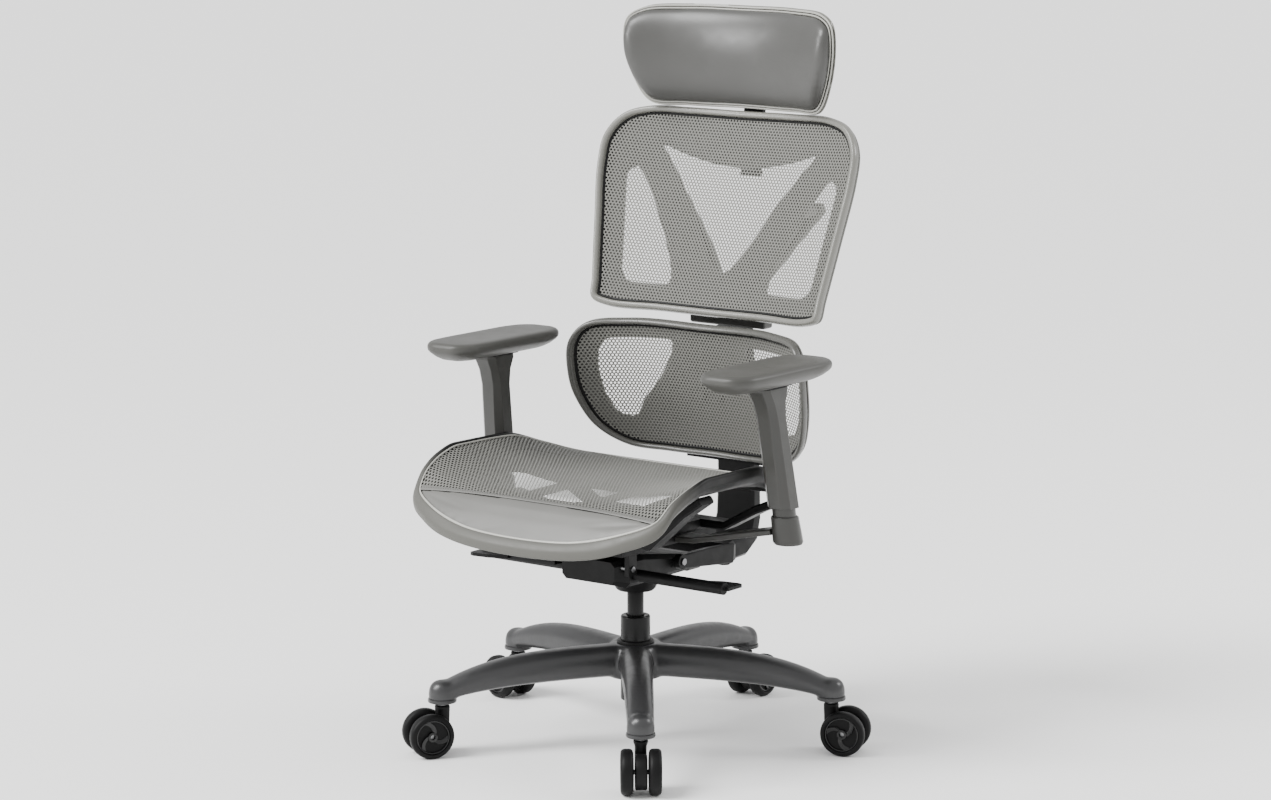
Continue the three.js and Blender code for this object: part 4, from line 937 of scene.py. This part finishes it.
parts = [block(-79, 79, 259, 287, 672, 712)]
make("vee_hub", parts, "grey", "back", "vee_support", 40, 5, 4)
parts = []
for s in (-1, 1):
    parts.append(strut([(s * 25, 274, 692), (s * 45, 290, 745), (s * 82, 309, 800),
                        (s * VEE_TIP["x"], VEE_TIP["y"], VEE_TIP["z"])], [34, 30, 26, 24], 24))
    ball = lathe([(VEE_TIP["radius"] * math.sin(t),
                   -VEE_TIP["radius"] * math.cos(t)) for t in np.linspace(0, math.pi, 17)], 32)
    parts.append((ball[0] + np.array([s * VEE_TIP["x"], VEE_TIP["y"], VEE_TIP["z"]]), ball[1]))
make("vee_arms", parts, "shell", "back", angle=60)
tips = []
for s in (-1, 1):
    tip = lathe([(0, 0), (9, 0), (9, 42), (0, 42)], 28, Matrix.Rotation(-math.pi / 2, 4, "X"))
    tips.append((tip[0] + np.array([s * VEE_TIP["x"], VEE_TIP["post_y"], VEE_TIP["z"]]), tip[1]))
make("vee_tip_posts", tips, "shell", "back", angle=40)

# ---- Headrest ----
rolled = lambda d, r: np.sqrt(np.maximum(0, 1 - (1 - np.minimum(d / r, 1)) ** 2))
make("headrest_shell_fine", [plate(head_edge, [],
                                   lambda q, d: head(q[:, 0], q[:, 1], 5 + 4.5 * rolled(d, 4)),
                                   lambda q, d: head(q[:, 0], q[:, 1], 5 - 4.5 * rolled(d, 9)), 7)],
     "bezel", "headrest", "headrest_shell", 55)
pad_outline = inset(head_edge, 4.5)
bulge = lambda q: 25 * np.maximum(0, 1 - np.abs((q[:, 1] - 88) / 92) ** 2.2)
pad = make("headrest_pad_fine", [plate(pad_outline, [],
                                       lambda q, d: head(q[:, 0], q[:, 1],
                                                         11.5 + 8 * rolled(d, 9) + bulge(q) * rolled(d,
                                                             26)),
                                       lambda q, d: head(q[:, 0], q[:, 1], np.full(len(q), 10.6)), 5)],
           "skin", "headrest", "headrest_pad", 60)
inflate(pad, 3, 2.5, 4, lambda p: p[:, 1] > 302 - 54 * np.minimum(1.2, np.abs(p[:, 0]) / 220) ** 2.2, 45)
make("headrest_piping", [tube_on(head, head_edge, 3.0, 11.6, 1.9, 12)], "piping", "headrest", angle=60)
make("headrest_inner_piping", [tube_on(head, head_edge, 7.2, 15.4, 1.5, 12)], "piping", "headrest",
     angle=60)
lug = [block(s * 26 - 5, s * 26 + 5, 316, 359, 1107, 1133) for s in (-1, 1)]
make("headrest_lugs", lug, "black", "headrest", angle=40, bevel=2.5)


# ---- Arms ----
def arm_pad(side):
    half_wide, half_long, base = 54, 141, 635
    cx, cy = side * (300 - 264 * 0.06), 17 - 264 * 0.155
    plan = rounded([(-30, -141), (30, -141), (50, -116), (54, -70), (54, 92), (44, 126), (24, 141),
                    (-24, 141), (-44, 126), (-54, 92),
                    (-54, -70), (-50, -116)], 26, 6, closed=True)
    plan = spline(plan, 150)
    levels = [(0, 26), (1, 22), (6, 12.5), (13, 4), (17, 1.0), (20, 0.2), (24, 0.2), (27, 1.2), (29.4, 3.4),
              (30.8, 6.5), (31.5, 11)]
    rings = []
    for z, cut in levels:
        scale = 1 - cut / np.array([half_wide, half_long])
        rings.append(np.stack([cx + plan[:, 0] * scale[0], cy + plan[:, 1] * scale[1],
                               np.full(len(plan), base + z)], 1))
    for share, z in ((0.6, 31.2), (0.4, 30.7), (0.2, 30.4), (0.06, 30.3)):
        rings.append(np.stack([cx + plan[:, 0] * share, cy + plan[:, 1] * share,
                               np.full(len(plan), base + z)], 1))
    return loft(rings)


for label, side in (("left", 1), ("right", -1)):
    pad = make(f"{label}_arm_pad_fine", [arm_pad(side)], "pad_skin", f"{label}_pad", f"{label}_arm_pad", 60)
    refine(f"{label}_arm_sleeve", "grey", 2.2, 30, 4)
    refine(f"{label}_arm_post", "grey", 1.0, 34)
    refine(f"{label}_arm_bracket", "grey", 1.6, 34)
    refine(f"{label}_arm_button", "black", 0.8)
    refine(f"{label}_pad_carrier", "black", 1.0)

# ---- Floor and light ----
floor = bpy.data.meshes.new("floor")
FLOOR = 400
floor.from_pydata([(-FLOOR, -FLOOR, 0), (FLOOR, -FLOOR, 0), (FLOOR, FLOOR, 0), (-FLOOR, FLOOR, 0)], [],
                  [(0, 1, 2, 3)])
floor_obj = bpy.data.objects.new("floor", floor)
bpy.context.scene.collection.objects.link(floor_obj)
pale, tree, bsdf = new_material("pale_floor", (0.93, 0.93, 0.925), 0.75)
floor.materials.append(pale)


def softbox(name, place, size, power):
    light = bpy.data.lights.new(name, "AREA")
    light.shape = "RECTANGLE"
    light.size = size
    light.size_y = size
    light.energy = power
    obj = bpy.data.objects.new(name, light)
    bpy.context.scene.collection.objects.link(obj)
    obj.location = place
    obj.rotation_euler = (Vector((0, 0, 0.7)) - Vector(place)).to_track_quat("-Z", "Y").to_euler()


sun = bpy.data.objects.new("daylight", bpy.data.lights.new("daylight", "SUN"))
sun.data.energy = 3.8
sun.data.angle = math.radians(28)
sun.rotation_euler = Vector((2.2, 3.4, -4.6)).to_track_quat("-Z", "Y").to_euler()
bpy.context.scene.collection.objects.link(sun)
softbox("key", (-2.6, -3.4, 2.4), 1.1, 110)
softbox("edge", (2.6, 2.4, 2.6), 1.2, 60)
world = bpy.data.worlds.new("world")
world.use_nodes = True
world.node_tree.nodes["Background"].inputs["Color"].default_value = (1, 1, 1, 1)
world.node_tree.nodes["Background"].inputs["Strength"].default_value = 1.15
bpy.context.scene.world = world
